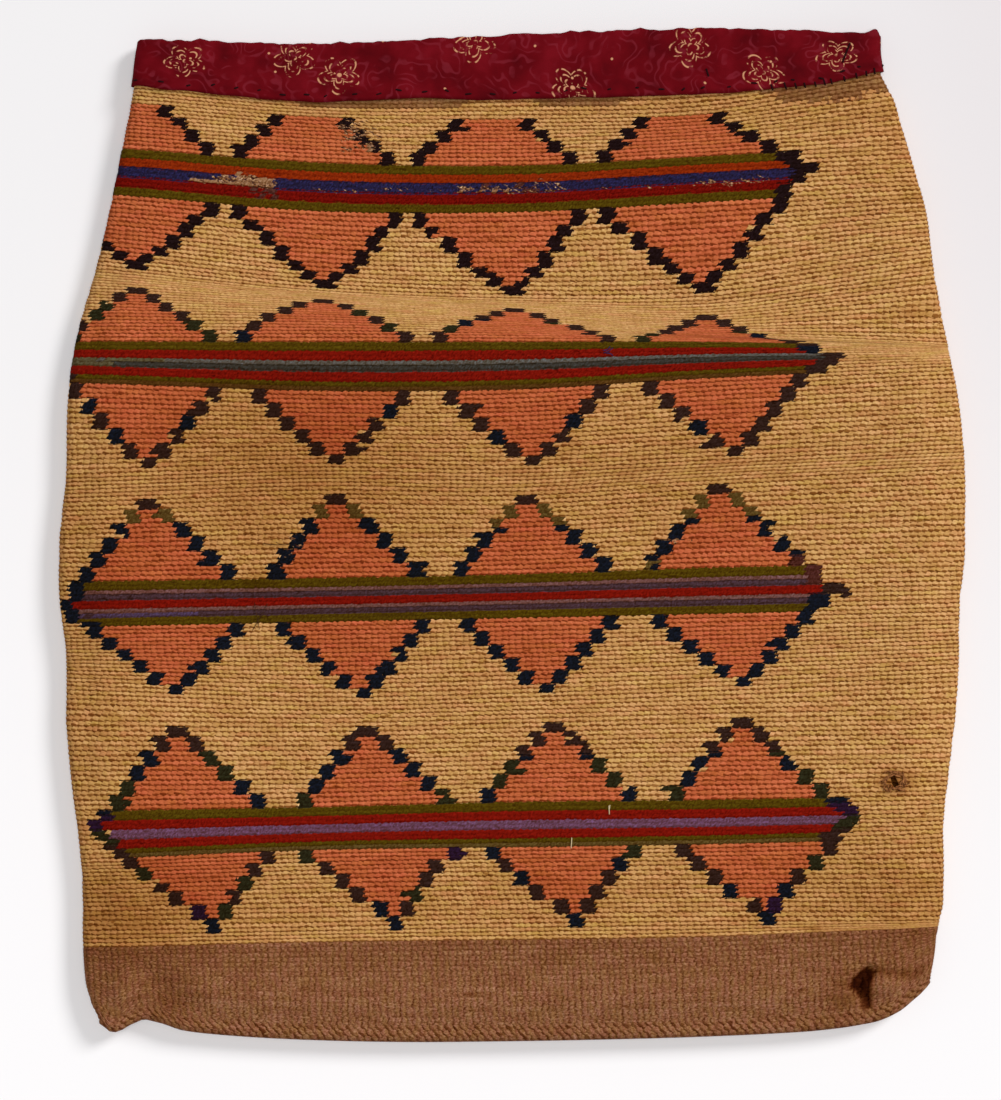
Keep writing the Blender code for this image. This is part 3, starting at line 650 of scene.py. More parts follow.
weave_places, work_values = [], []
yarn_shades = {name: [] for name in YARN_LAYERS}
for face in cloth.polygons:
    corners = [grid_spots[v] for v in face.vertices]
    places = [cloth.vertices[v].co for v in face.vertices]
    column, row = min(c[0] for c in corners), min(c[1] for c in corners)
    course = row // 2
    stitch = math.floor(0.5 * (line_stitches[column] + line_stitches[column + 1]) + 0.5)
    behind = column >= FRONT_LINES
    frays = [fray_at(p.x, p.y - BOTTOM) if p.z > FRAYS_ABOVE else 0.0 for p in places]
    for layer, (beside, over) in YARN_LAYERS.items():
        shade = to_linear(YARNS[yarn_near(course + over, stitch + beside, behind)][0])
        for fray in frays:
            yarn_shades[layer] += (*shade, fray)
    name = yarn_near(course, stitch, behind)
    _shade, relief, woolly = YARNS[name]
    ribs = {"base": 1.0, "bare": 0.4}.get(name, 0.0)
    stands = 1.0
    if not behind:
        pitch = curve_at(pitch_of_course[course], face.center.x)
        stands = eased((pitch - CLOSE_PITCH) / PITCH_EASE)
    for place, spot in zip(places, corners):
        # Each corner of the front carries its soil together with painted shade and light.
        soil_and_shade = soil_and_shade_at(place.x, place.y - BOTTOM) if place.z > SOIL_AND_SHADE_ABOVE else 0.0
        weave_places += (line_stitches[spot[0]] + 0.5, 0.5 * spot[1])
        work_values += (relief * (0.25 + 0.75 * stands), ribs, soil_and_shade, woolly)
cloth.uv_layers["weave"].data.foreach_set("uv", weave_places)
cloth.color_attributes["work"].data.foreach_set("color", work_values)
for layer, shades_here in yarn_shades.items():
    cloth.color_attributes[layer].data.foreach_set("color", shades_here)

# The sheet's two side ends meet at the left fold, and are made one.
bpy.ops.object.mode_set(mode="EDIT")
bpy.ops.mesh.select_all(action="DESELECT")
bpy.ops.mesh.select_mode(type="VERT")
bpy.ops.object.mode_set(mode="OBJECT")
for vertex, spot in zip(cloth.vertices, grid_spots):
    vertex.select = spot[0] in (0, LINES)
bpy.ops.object.mode_set(mode="EDIT")
bpy.ops.mesh.remove_doubles(threshold=1e-6)
bpy.ops.object.mode_set(mode="OBJECT")

rim_line = course_line(COURSES)
rim_ends = ends_of_course(rim_line)
rim_across = across_face(rim_ends)


def bottom_and_lining(mesh_data):
    """Closes the bottom fold, and lines the pouch with the wall's inner face."""
    mesh = bmesh.new()
    mesh.from_mesh(mesh_data)
    uv = mesh.loops.layers.uv["weave"]
    yarns = [mesh.loops.layers.float_color[name] for name in YARN_LAYERS]
    work = mesh.loops.layers.float_color["work"]
    open_edges = [e for e in mesh.edges if e.is_boundary]
    rim = {v for e in open_edges for v in e.verts if v.co.y > 0}
    hem = {v for e in open_edges for v in e.verts if v.co.y <= 0}

    def dress(face, shade, relief, ribs, painted_inner_shade=0.0):
        for loop in face.loops:
            loop[uv].uv = (loop.vert.co.x / STITCH, loop.vert.co.y / LINING_COURSE)
            for yarn in yarns:
                loop[yarn] = (*to_linear(shade), 0.0)
            loop[work] = (relief, ribs, painted_inner_shade, 0.0)

    def zip_up(low, high, shade, flip):
        low, high = sorted(low, key=lambda v: v.co.x), sorted(high, key=lambda v: v.co.x)
        i = j = 0
        while i < len(low) - 1 or j < len(high) - 1:
            a = low[i + 1].co.x if i < len(low) - 1 else math.inf
            b = high[j + 1].co.x if j < len(high) - 1 else math.inf
            if a <= b:
                corners = [low[i], low[i + 1], high[j]]
                i += 1
            else:
                corners = [low[i], high[j + 1], high[j]]
                j += 1
            if len(set(corners)) == 3:
                face = mesh.faces.new(corners[::-1] if flip else corners)
                dress(face, shade, 0.6, 1.0)

    def split_ring(ring):
        """The front and the back half of a ring, each with both fold vertices."""
        order = walk(ring)
        left = min(range(len(order)), key=lambda i: order[i].co.x)
        order = order[left:] + order[:left]
        right = max(range(len(order)), key=lambda i: order[i].co.x)
        one, other = order[: right + 1], order[right:] + [order[0]]
        if sum(v.co.z for v in one) / len(one) < sum(v.co.z for v in other) / len(other):
            one, other = other, one
        return one, other

    def walk(ring):
        """The vertices of a ring in the order in which they join."""
        start = max(ring, key=lambda v: v.index)
        order, last = [start], None
        while True:
            here = order[-1]
            for edge in here.link_edges:
                if not edge.is_boundary:
                    continue
                there = edge.other_vert(here)
                if there is not last and there in ring and (there is not start or len(order) > 2):
                    break
            else:
                break
            if there is start:
                break
            last = here
            order.append(there)
        return order

    front, back = split_ring(hem)
    zip_up(front, back, YARNS["base"][0], True)

    ring = walk(rim)
    courses = [COURSES, *(COURSES * h * MM / POUCH_HIGH for h in LINING_HEIGHTS), LINING_END]
    shares = []
    for vertex in ring:
        x, z = vertex.co.x, vertex.co.z
        middle_z = fold_height(POUCH_HIGH)
        from_left, from_right = x - rim_ends[0], rim_ends[1] - x
        inset = max(min(from_left, from_right), 0.0)
        travel = inset - FOLD_RADIUS + FOLD_QUARTER
        if inset < FOLD_RADIUS:
            travel = FOLD_RADIUS * math.acos(1 - inset / FOLD_RADIUS)
        if from_left > from_right:
            travel = rim_across - travel
        if z < middle_z:
            travel = 2 * rim_across - travel
        shares.append(travel / rim_across)
    last_ring = ring
    for course in courses:
        line = course_line(course)
        ends = ends_of_course(line)
        across = across_face(ends)
        new_ring = []
        for share in shares:
            x, y, z = wall_place(line, ends, share * across, -WALL)
            if 0.02 < share < 0.98:
                z -= LINING_DIP * eased((DIP_HIGH - y) / DIP_EASE) * math.sin(math.pi * share) ** 0.3
            new_ring.append(mesh.verts.new((x, y + BOTTOM, z)))
        for i in range(len(ring)):
            j = (i + 1) % len(ring)
            face = mesh.faces.new((last_ring[i], last_ring[j], new_ring[j], new_ring[i]))
            # Away from the mouth the lining is painted darker, as the shade inside the pouch.
            dress(face, YARNS["husk"][0], 0.8, 0.0, 0.8 * eased(2 - 2 * course / COURSES))
        last_ring = new_ring
    mesh.verts.index_update()
    front, back = split_ring(set(last_ring))
    zip_up(front, back, YARNS["husk"][0], False)
    bmesh.ops.recalc_face_normals(mesh, faces=mesh.faces[:])
    mesh.to_mesh(mesh_data)
    mesh.free()


bottom_and_lining(cloth)

# A small hole is worn right through the front near the right fold.
HOLE = (190.8, 129.8)  # in mm: place across, height
HOLE_FROM, HOLE_TO = 7.5 * MM, 18 * MM  # from inside the pouch to above its front
select_only()
bpy.ops.mesh.primitive_cylinder_add(vertices=11, radius=1, depth=1)
moth = bpy.context.object
for n, vertex in enumerate(moth.data.vertices):
    ragged = 1 + 0.25 * math.sin(2.3 * n + 0.7)
    aslant = vertex.co.x * 1.6 - vertex.co.y * 1.8
    vertex.co.x = (HOLE[0] + aslant * ragged) * MM
    vertex.co.y = BOTTOM + (HOLE[1] + vertex.co.y * 4.5 * ragged) * MM
    vertex.co.z = HOLE_FROM if vertex.co.z < 0 else HOLE_TO
moth.data.uv_layers.active.name = "weave"
cut = pouch.modifiers.new("worn_through", "BOOLEAN")
cut.operation = "DIFFERENCE"
cut.solver = "EXACT"
cut.object = moth
select_only(pouch)
bpy.ops.object.modifier_apply(modifier="worn_through")
bpy.data.objects.remove(moth)
bpy.ops.object.shade_smooth()


def joined(source, socket):
    """Feeds a socket from an output, or gives it a plain value."""
    if isinstance(source, bpy.types.NodeSocket):
        socket.id_data.links.new(source, socket)
    else:
        socket.default_value = source


def fed(kind, values, places=None, **settings):
    """A new node with its settings, fed with values of which at least one is another's output."""
    tree = next(v.id_data for v in values if isinstance(v, bpy.types.NodeSocket))
    node = tree.nodes.new(kind)
    for name, setting in settings.items():
        setattr(node, name, setting)
    for value, place in zip(values, places or range(len(values))):
        joined(value, node.inputs[place])
    return node


def worked_out(operation, *values):
    return fed("ShaderNodeMath", values, operation=operation).outputs[0]


def times(first, *others):
    for other in others:
        first = worked_out("MULTIPLY", first, other)
    return first


def plus(first, *others):
    for other in others:
        first = worked_out("ADD", first, other)
    return first


def less(first, second):
    return worked_out("SUBTRACT", first, second)


def larger(first, second):
    return worked_out("MAXIMUM", first, second)


def scaled(value, factor, added):
    return worked_out("MULTIPLY_ADD", value, factor, added)


def swung(value, amount):
    """A value from 0 to 1, turned into a swing of this much about nothing."""
    return times(less(value, 0.5), amount)


def softened(tone, share):
    """A tone brought nearer to 1, with only this share of its effect."""
    return scaled(less(tone, 1.0), share, 1.0)


def eased_between(value, low, high, to_low=0.0, to_high=1.0):
    places = ("Value", "From Min", "From Max", "To Min", "To Max")
    values = (value, low, high, to_low, to_high)
    return fed("ShaderNodeMapRange", values, places, interpolation_type="SMOOTHSTEP").outputs["Result"]


def vectors_worked_out(operation, *vectors):
    return fed("ShaderNodeVectorMath", vectors, operation=operation).outputs


def placed(x, y, z=0.0):
    return fed("ShaderNodeCombineXYZ", (x, y, z)).outputs[0]


def apart(vector):
    """The place across and the place up."""
    return fed("ShaderNodeSeparateXYZ", (vector,)).outputs[:2]


def drawn_out(place, across, up, layer=0.0):
    """A place stretched across and up, in its own layer of a pattern."""
    return vectors_worked_out("MULTIPLY_ADD", place, (across, up, 0.0), (0.0, 0.0, layer))[0]


def skewed(across, up, *shares):
    """A place of which x, and then y, is so much of the one across and so much of the one up."""
    return placed(*(scaled(up, b, times(across, a)) for a, b in shares))


def tinted(factor, first, second, way="MIX"):
    mixed = fed("ShaderNodeMix", (factor, first, second), (0, 6, 7), data_type="RGBA", blend_type=way)
    return mixed.outputs[2]


def clouds(vector, scale, detail=2.0, rough=0.5):
    places = ("Vector", "Scale", "Detail", "Roughness")
    return fed("ShaderNodeTexNoise", (vector, scale, detail, rough), places).outputs["Fac"]


def cast(dimensions, source):
    """A value from 0 to 1 thrown for each place, or for each number."""
    places = ("W" if dimensions == "1D" else "Vector",)
    return fed("ShaderNodeTexWhiteNoise", (source,), places, noise_dimensions=dimensions).outputs["Value"]


def shades(value, stops):
    node = fed("ShaderNodeValToRGB", (value,))
    ramp = node.color_ramp
    while len(ramp.elements) < len(stops):
        ramp.elements.new(0.5)
    for element, (at, colour) in zip(ramp.elements, stops):
        element.position = at
        element.color = (*colour, 1.0)
    return node.outputs[0]


def paint(shade):
    return (*to_linear(shade), 1.0)


def new_group(name, inputs, outputs):
    """An empty node group: its tree, its input node and its output node. A place has no number."""
    tree = bpy.data.node_groups.new(name, "ShaderNodeTree")
    for label, start in inputs.items():
        kind = "NodeSocketVector" if start is None else "NodeSocketFloat"
        socket = tree.interface.new_socket(label, in_out="INPUT", socket_type=kind)
        if start is not None:
            socket.default_value = start
    for label in outputs:
        tree.interface.new_socket(label, in_out="OUTPUT", socket_type="NodeSocketFloat")
    return tree, tree.nodes.new("NodeGroupInput"), tree.nodes.new("NodeGroupOutput")


def group_in(group, **values):
    places = [name.replace("_", " ") for name in values]
    return fed("ShaderNodeGroup", list(values.values()), places, node_tree=group).outputs


def new_material(name, colour, rough, gloss=0.5):
    """A material with its node tree and its shader."""
    made = bpy.data.materials.new(name)
    made.use_nodes = True
    made.diffuse_color = paint(colour)
    shader = made.node_tree.nodes["Principled BSDF"]
    shader.inputs["Roughness"].default_value = rough
    shader.inputs["Specular IOR Level"].default_value = gloss
    return made, made.node_tree, shader


def map_place(tree, name):
    node = tree.nodes.new("ShaderNodeUVMap")
    node.uv_map = name
    return node.outputs[0]


def mesh_layer(tree, name):
    node = tree.nodes.new("ShaderNodeAttribute")
    node.attribute_name = name
    return node.outputs


def bumped(shader, height, depth, strength=1.0):
    relief = fed("ShaderNodeBump", (strength, depth, height), ("Strength", "Distance", "Height"))
    joined(relief.outputs[0], shader.inputs["Normal"])


# One stitch of twining, repeated: a plump blob that slants down to the right, with a short dark
# gap under it. A stitch that reaches past its own place takes its yarn with it.
twining, given, gives = new_group(
    "twined_stitch", {"Place": None, "Tilt": 0.3, "Lean": 0.2, "Side Step": 0.5},
    ("Crest", "Gap", "Side", "Stitch Tone", "Streak", "Second Streak", "Beside", "Over", "Run", "Rise"),
)
place = given.outputs["Place"]
along, upward = apart(place)
wobble = swung(clouds(drawn_out(place, 0.45, 1.0), 1.0), 0.30)
ripple = swung(clouds(drawn_out(place, 1.1, 0.8, 14.0), 1.0, 1.0), 0.42)
wavy = plus(upward, wobble, ripple)
wavy_row = worked_out("FLOOR", wavy)
side_step = swung(cast("1D", wavy_row), given.outputs["Side Step"])
lean = times(less(0.5, worked_out("FRACT", wavy)), given.outputs["Lean"])
drift = clouds(placed(times(along, 0.4), wavy_row, 11.0), 1.0, 1.0)
across = plus(along, side_step, lean, swung(drift, 0.9))
run, column = worked_out("FRACT", across), worked_out("FLOOR", across)
tilted = plus(wavy, swung(run, given.outputs["Tilt"]))
rise, row = worked_out("FRACT", tilted), worked_out("FLOOR", tilted)
side, edge = (worked_out("ABSOLUTE", less(times(share, 2.0), 1.0)) for share in (run, rise))
cell = cast("2D", placed(column, row))
second_cell = cast("3D", placed(column, row, 5.0))
dash = scaled(worked_out("POWER", run, 0.7), 0.42, 0.58)
dash = times(dash, eased_between(run, 0.84, 1.0, 1.0, 0.8))
uneven = clouds(placed(times(along, 0.5), row, 3.0), 1.0)
dash_height = plus(eased_between(uneven, 0.3, 0.7, 0.08, 0.40), swung(cell, 0.22))
under = less(scaled(dash, dash_height, 0.13), rise)
gap_under = times(eased_between(under, -0.13, 0.08), scaled(second_cell, 0.35, 0.65))
gap_over = eased_between(rise, 0.88, 1.02, 0.0, 0.45)
gap_end = eased_between(side, 0.84, 1.0, 0.0, 0.15)
gap = larger(larger(gap_under, gap_over), gap_end)
round_back = less(1.0, times(edge, edge))
body = worked_out("SQRT", larger(round_back, 0.0))
ends_down = less(1.0, times(worked_out("POWER", side, 3.0), 0.4))
streak_place = placed(times(along, 0.13), times(row, 0.93))
second_place = placed(times(along, 0.2), times(row, 1.31), 7.0)
for name, value in {
    "Crest": times(body, ends_down), "Gap": gap, "Side": side, "Stitch Tone": cell,
    "Streak": clouds(streak_place, 1.0, 3.0, 0.7),
    "Second Streak": clouds(second_place, 1.0, 3.0, 0.7),
    "Beside": less(column, worked_out("FLOOR", along)),
    "Over": less(row, worked_out("FLOOR", upward)),
    "Run": run, "Rise": rise,
}.items():
    joined(value, gives.inputs[name])

# Fine fibres lie along the yarn and the cotton alike.
fibres, given, gives = new_group("fibres", {"Place": None, "Along": 1.0, "Across": 1.0}, ("Fibre",))
along, upward = apart(given.outputs["Place"])
stretched = placed(times(along, given.outputs["Along"]), times(upward, given.outputs["Across"]))
joined(clouds(stretched, 1.0, 3.0, 0.65), gives.inputs["Fibre"])

twined_yarn, tree, shader = new_material("twined_yarn", YARNS["husk"][0], 0.7, 0.03)
weave = map_place(tree, "weave")
stitch_at, course_at = apart(weave)
ribbed = group_in(twining, Place=weave, Tilt=0.30, Lean=0.2, Side_Step=0.22)
coarse = drawn_out(weave, 0.85, 0.8)
twisted = group_in(twining, Place=coarse, Tilt=0.8, Lean=0.5, Side_Step=0.9)
fuzz = group_in(fibres, Place=weave, Along=2.2, Across=6.0)["Fibre"]
slanted = skewed(stitch_at, course_at, (1.0, -0.55), (0.0, 1.0))
wool_fuzz = group_in(fibres, Place=slanted, Along=4.5, Across=1.6)["Fibre"]
yarns = {layer: mesh_layer(tree, layer) for layer in YARN_LAYERS}
work = mesh_layer(tree, "work")
stands, ribs, soil_and_shade = fed("ShaderNodeSeparateColor", (work["Color"],)).outputs
woolly = work["Alpha"]
husky, plain = less(1.0, woolly), less(1.0, ribs)
striped = eased_between(woolly, 0.6, 0.95, 0.34, 0.20)
stitches = group_in(twining, Place=weave, Tilt=striped, Lean=0.6, Side_Step=0.6)
border = times(ribs, worked_out("LESS_THAN", course_at, BORDER_COURSES))
inner_ribs = less(ribs, border)

colour = yarns["yarn"]["Color"]
for layer, side_out, way in (
    ("yarn_left", "Beside", -1), ("yarn_right", "Beside", 1), ("yarn_under", "Over", -1),
    ("yarn_over", "Over", 1),
):
    reached = worked_out("GREATER_THAN", times(stitches[side_out], way), 0.5)
    colour = tinted(times(reached, plain), colour, yarns[layer]["Color"])

# Dark wool is plumper than husk, and spreads a little over the stitches round it.
own_run = plus(stitches["Run"], stitches["Beside"])
own_rise = plus(stitches["Rise"], stitches["Over"])
spread_up = scaled(stitches["Run"], 0.30, 0.08)
spread_down = scaled(stitches["Run"], -0.26, 0.30)
spread_beside = scaled(stitches["Stitch Tone"], 0.25, 0.02)
for layer, reach, from_it in (
    ("yarn_under", spread_up, own_rise), ("yarn_left", spread_beside, own_run),
    ("yarn_over", spread_down, less(1.0, own_rise)),
    ("yarn_right", spread_beside, less(1.0, own_run)),
):
    lightness = fed("ShaderNodeRGBToBW", (yarns[layer]["Color"],)).outputs[0]
    dark = worked_out("LESS_THAN", lightness, 0.035)
    covered = times(worked_out("LESS_THAN", from_it, reach), dark, plain)
    colour = tinted(covered, colour, yarns[layer]["Color"])

pinks = shades(stitches["Second Streak"], [
    (0.32, (1.05, 0.90, 1.0)), (0.44, (1.02, 0.97, 1.02)), (0.52, (1.0, 1.0, 0.98)),
    (0.60, (0.98, 1.01, 0.87)), (0.70, (0.95, 1.02, 0.76)),
])
colour = tinted(times(scaled(husky, 0.8, 0.2), plain), colour, pinks, "MULTIPLY")
rib_place = drawn_out(weave, 1.2, 0.28)
mottle = shades(clouds(rib_place, 1.0, 4.0, 0.7), [
    (0.32, (0.90, 0.80, 0.90)), (0.43, (1.02, 0.92, 1.06)), (0.51, (1.0, 1.0, 1.0)),
    (0.60, (0.97, 1.03, 0.84)), (0.70, (1.08, 1.12, 0.98)),
])
colour = tinted(ribs, colour, tinted(1.0, colour, mottle, "MULTIPLY"))

# Worn wool shows the tan cord and loose pale fibre, in slanting strands.
wear = yarns["yarn"]["Alpha"]
strands = skewed(stitch_at, course_at, (1.1, 1.1), (-0.25, 0.45))
uneven = clouds(drawn_out(weave, 0.5, 1.0, 4.0), 0.9, 1.0)
fray_edge = plus(less(0.80, times(wear, 0.55)), swung(uneven, 0.45))
frayed = less(clouds(strands, 1.25, 3.0, 0.65), fray_edge)
frayed = times(eased_between(frayed, -0.01, 0.03), worked_out("GREATER_THAN", wear, 0.02))
fine_strands = skewed(stitch_at, course_at, (1.3, 0.6), (-0.8, 1.6))
strand_shade = shades(clouds(fine_strands, 1.6, 2.0, 0.6), [
    (0.41, to_linear((46, 20, 18))), (0.48, to_linear((104, 62, 40))),
    (0.54, to_linear((146, 102, 68))), (0.64, to_linear((188, 148, 106))),
])
colour = tinted(frayed, colour, strand_shade)

# One number for how light each spot is, from its stitch, its fibres, the row and the gaps.
grain = clouds(weave, 2.6, 3.0, 0.7)
# Where the courses are drawn up close, grain shows in place of the stitches.
flattened = times(less(1.0, larger(stands, woolly)), 0.7)
grained = larger(ribs, larger(flattened, 0.0))
flecks = clouds(drawn_out(weave, 0.75, 1.0, 9.0), 0.8, 2.0, 0.6)
tone = times(
    scaled(stitches["Stitch Tone"], 0.14, 0.97),
    softened(eased_between(grain, 0.30, 0.70, 0.66, 1.42), grained),
    softened(eased_between(stitches["Streak"], 0.30, 0.70, 0.88, 1.13), scaled(husky, 0.7, 0.3)),
    scaled(fuzz, 1.0, 0.51),
    softened(eased_between(wool_fuzz, 0.33, 0.67, 0.62, 1.50), woolly),
    eased_between(flecks, 0.66, 0.73, 1.0, 0.60),
)
# Two courses of the same wool mat together, and a stripe's lower edge is sharp.
unlike = vectors_worked_out("DISTANCE", yarns["yarn"]["Color"], yarns["yarn_under"]["Color"])
matted = times(worked_out("LESS_THAN", unlike["Value"], 0.002), woolly, 0.6)
gap_rows = times(stitches["Gap"], plain, less(1.0, matted))
patchy = clouds(rib_place, 0.8, 2.0, 0.6)
rib_rough = plus(ribbed["Side"], swung(grain, -2.2))
rib_sides = times(eased_between(rib_rough, 0.45, 1.10), eased_between(patchy, 0.35, 0.6, 0.35, 0.95))
rib_under = times(ribbed["Gap"], eased_between(course_at, 7.0, 18.0, 0.05, 0.62))
gap_ribs = times(larger(rib_sides, rib_under), inner_ribs, 0.72)
gap_border = times(twisted["Gap"], border, eased_between(patchy, 0.35, 0.6, 0.45, 0.9))
gaps = times(plus(gap_rows, gap_ribs, gap_border), stands)
# The gaps between stitches, courses and ribs are darkened: partly the darker cord that shows there,
# partly painted shade in the grooves.
GAP_TONE = 0.30
# Soil and painted shade and light from the mesh darken the colour, and in one place lighten it.
tone = larger(times(tone, scaled(gaps, GAP_TONE - 1.0, 1.0), scaled(soil_and_shade, -0.9, 1.0)), 0.02)
# Dyed and dried fibre grows redder as it darkens.
warm = placed(tone, worked_out("POWER", tone, 1.45), worked_out("POWER", tone, 2.1))
joined(tinted(1.0, colour, warm, "MULTIPLY"), shader.inputs["Base Color"])
joined(scaled(woolly, 0.2, 0.75), shader.inputs["Roughness"])
rib_back = less(1.0, worked_out("POWER", ribbed["Side"], 2.0))
crest_ribs = times(rib_back, scaled(ribbed["Crest"], 0.6, 0.4))
crest = plus(times(stitches["Crest"], plain), times(crest_ribs, inner_ribs))
crest = plus(crest, times(twisted["Crest"], border))
height = plus(times(crest, stands), times(fuzz, 0.25))
bumped(shader, height, 0.5 * MM)
cloth.materials.clear()
cloth.materials.append(twined_yarn)

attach(pouch, "root")
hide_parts("twined_body")

# The rim's binding. A strip of dark red printed cotton, folded over the woven rim all the way
# round the mouth, and puckered a little between the stitches that hold it.
CLOTH = 0.7 * MM
CLEAR = 0.35 * MM  # between the cotton and the weave
FRONT_LEG, OVER_RIM, INSIDE = 31 * MM, 3.6 * MM, 20 * MM  # the strip in front, over and inside
HEM_LINE = [  # its lower edge in mm: place across, height
    (-188, 477.5), (-156, 474), (-116, 470), (-91, 469), (-46, 471), (-16, 470), (24, 471),
    (64, 472), (94, 473), (124, 475.5), (154, 478.5), (184, 485),
]
STRIP_LINES = 320
SIDE_ROWS, TOP_ROWS, INNER_ROWS = 14, 6, 6
PUCKER = 11.5 * MM  # from one to the next
PUCKER_DEEP, LOOSE_DEEP, CREASED_DEEP = 0.55 * MM, 0.6 * MM, 0.35 * MM
PUCKER_ABOVE, PUCKER_REACH = 4 * MM, 5 * MM  # of the puckers' middles above the lower edge
EDGE_WAVE, TOP_WAVE = 0.6 * MM, 1.2 * MM


def hem_height(x):
    x = min(max(x, rim_ends[0]), rim_ends[1])
    return curve_at(HEM_LINE, x / MM) * MM


def mouth_place(travel, below, offset):
    """A point near the mouth, below the rim and out from the wall's outer face."""
    x = wall_place(rim_line, rim_ends, travel, 0.0)[0]
    rim = rim_line(x)
    level = rim - max(below, 0.0)
    ends = (left_fold(level), right_fold(level))
    along = travel * across_face(ends) / rim_across
    px, _py, pz = wall_place(lambda across: level, ends, along, offset)
    return px, rim - below + BOTTOM, pz


def strip_profile(row, hem):
    """Distance below the rim and out from the wall for one line along the strip."""
    if row <= SIDE_ROWS:
        share = row / SIDE_ROWS
        return hem * (1 - share) - CLEAR * share, CLEAR + CLOTH
    if row <= SIDE_ROWS + TOP_ROWS:
        turn = math.pi * (row - SIDE_ROWS) / TOP_ROWS
        half = 0.5 * WALL + CLEAR + CLOTH
        return -CLEAR - CLOTH * 1.3 * math.sin(turn), half * math.cos(turn) - 0.5 * WALL
    share = (row - SIDE_ROWS - TOP_ROWS) / INNER_ROWS
    return -CLEAR * (1 - share) + INSIDE * share, -WALL - CLEAR - CLOTH


select_only()
strip_rows = SIDE_ROWS + TOP_ROWS + INNER_ROWS
bpy.ops.mesh.primitive_grid_add(x_subdivisions=STRIP_LINES, y_subdivisions=strip_rows, size=1)
strip = bpy.context.object
strip.name = strip.data.name = "binding"
strip_spots = [
    (round((v.co.x + 0.5) * STRIP_LINES), round((v.co.y + 0.5) * strip_rows))
    for v in strip.data.vertices
]
for vertex, (column, row) in zip(strip.data.vertices, strip_spots):
    travel = 2 * rim_across * (column % STRIP_LINES) / STRIP_LINES
    x = wall_place(rim_line, rim_ends, travel, 0.0)[0]
    hem = rim_line(x) - hem_height(x)
    below, offset = strip_profile(row, hem)
    drawn = abs(math.sin(math.pi * travel / PUCKER))
    loose = noise.noise(Vector((travel * 45, below * 60, 3.0)))
    if row <= SIDE_ROWS:
        near_hem = math.exp(-(((hem - below) - PUCKER_ABOVE) / PUCKER_REACH) ** 2)
        creased = noise.noise(Vector((travel * 160, below * 30, 8.0)))
        offset += PUCKER_DEEP * drawn * near_hem + LOOSE_DEEP * max(loose + 0.3, 0.0)
        offset += CREASED_DEEP * max(creased + 0.2, 0.0)
        if row == 0:
            below += EDGE_WAVE * noise.noise(Vector((travel * 80, 0, 9)))
    elif row <= SIDE_ROWS + TOP_ROWS:
        waves = 0.4 + 1.0 * noise.noise(Vector((travel * 70, 1.0, 6.0)))
        waves += 0.9 * noise.noise(Vector((travel * 200, 1.0, 2.0)))
        if travel < rim_across:  # one fold stands up near the right end
            waves += 2.0 * math.exp(-(((x / MM - 182) / 3) ** 2))
        below -= TOP_WAVE * waves * math.sin(math.pi * (row - SIDE_ROWS) / TOP_ROWS)
    vertex.co = mouth_place(travel, below, offset)
strip_map = strip.data.uv_layers.active
strip_map.name = "cloth"
for face in strip.data.polygons:
    for loop, v in zip(face.loop_indices, face.vertices):
        column, row = strip_spots[v]
        along = 2 * rim_across * column / STRIP_LINES
        below, _offset = strip_profile(row, FRONT_LEG)
        if row <= SIDE_ROWS:
            travelled = FRONT_LEG - below
        elif row <= SIDE_ROWS + TOP_ROWS:
            travelled = FRONT_LEG + OVER_RIM * (row - SIDE_ROWS) / TOP_ROWS
        else:
            travelled = FRONT_LEG + OVER_RIM + below
        strip_map.data[loop].uv = (along, travelled)
bpy.ops.object.mode_set(mode="EDIT")
bpy.ops.mesh.select_all(action="SELECT")
bpy.ops.mesh.remove_doubles(threshold=1e-6)
bpy.ops.mesh.normals_make_consistent(inside=False)
bpy.ops.object.mode_set(mode="OBJECT")
middle_face = max(strip.data.polygons, key=lambda f: f.center.z)
if middle_face.normal.z < 0:
    strip.data.flip_normals()
thicken = strip.modifiers.new("doubled", "SOLIDIFY")
thicken.thickness = CLOTH
thicken.offset = -1
bpy.ops.object.modifier_apply(modifier="doubled")
bpy.ops.object.shade_smooth()

printed_cotton, tree, shader = new_material("printed_cotton", (112, 14, 26), 0.85, 0.03)
cotton = map_place(tree, "cloth")
thread = group_in(fibres, Place=cotton, Along=2600.0, Across=1800.0)["Fibre"]
colour = shades(clouds(cotton, 60.0, 3.0), [
    (0.30, to_linear((80, 5, 12))), (0.5, to_linear((99, 7, 16))), (0.7, to_linear((114, 13, 24)))
])


def sprigs(place, size, turn, loose):
    """A scatter of small flowers: distance from the nearest one's middle, and angle about it."""
    places = ("Vector", "Scale", "Randomness")
    cells = fed("ShaderNodeTexVoronoi", (place, 1.0 / size, loose), places, voronoi_dimensions="2D")
    away = vectors_worked_out("SUBTRACT", place, cells.outputs["Position"])[0]
    x, y = apart(away)
    return vectors_worked_out("LENGTH", away)["Value"], plus(worked_out("ARCTAN2", y, x), turn)


# A tone of darker and paler rings lies under the flowers.
rings = worked_out("SINE", times(clouds(cotton, 48.0, 2.0), 2 * math.pi * 11))
faded = eased_between(clouds(cotton, 90.0, 2.0), 0.40, 0.60)
tonal = times(eased_between(rings, 0.35, 0.95, 0.0, 0.34), faded)
colour = tinted(tonal, colour, paint((138, 44, 58)))
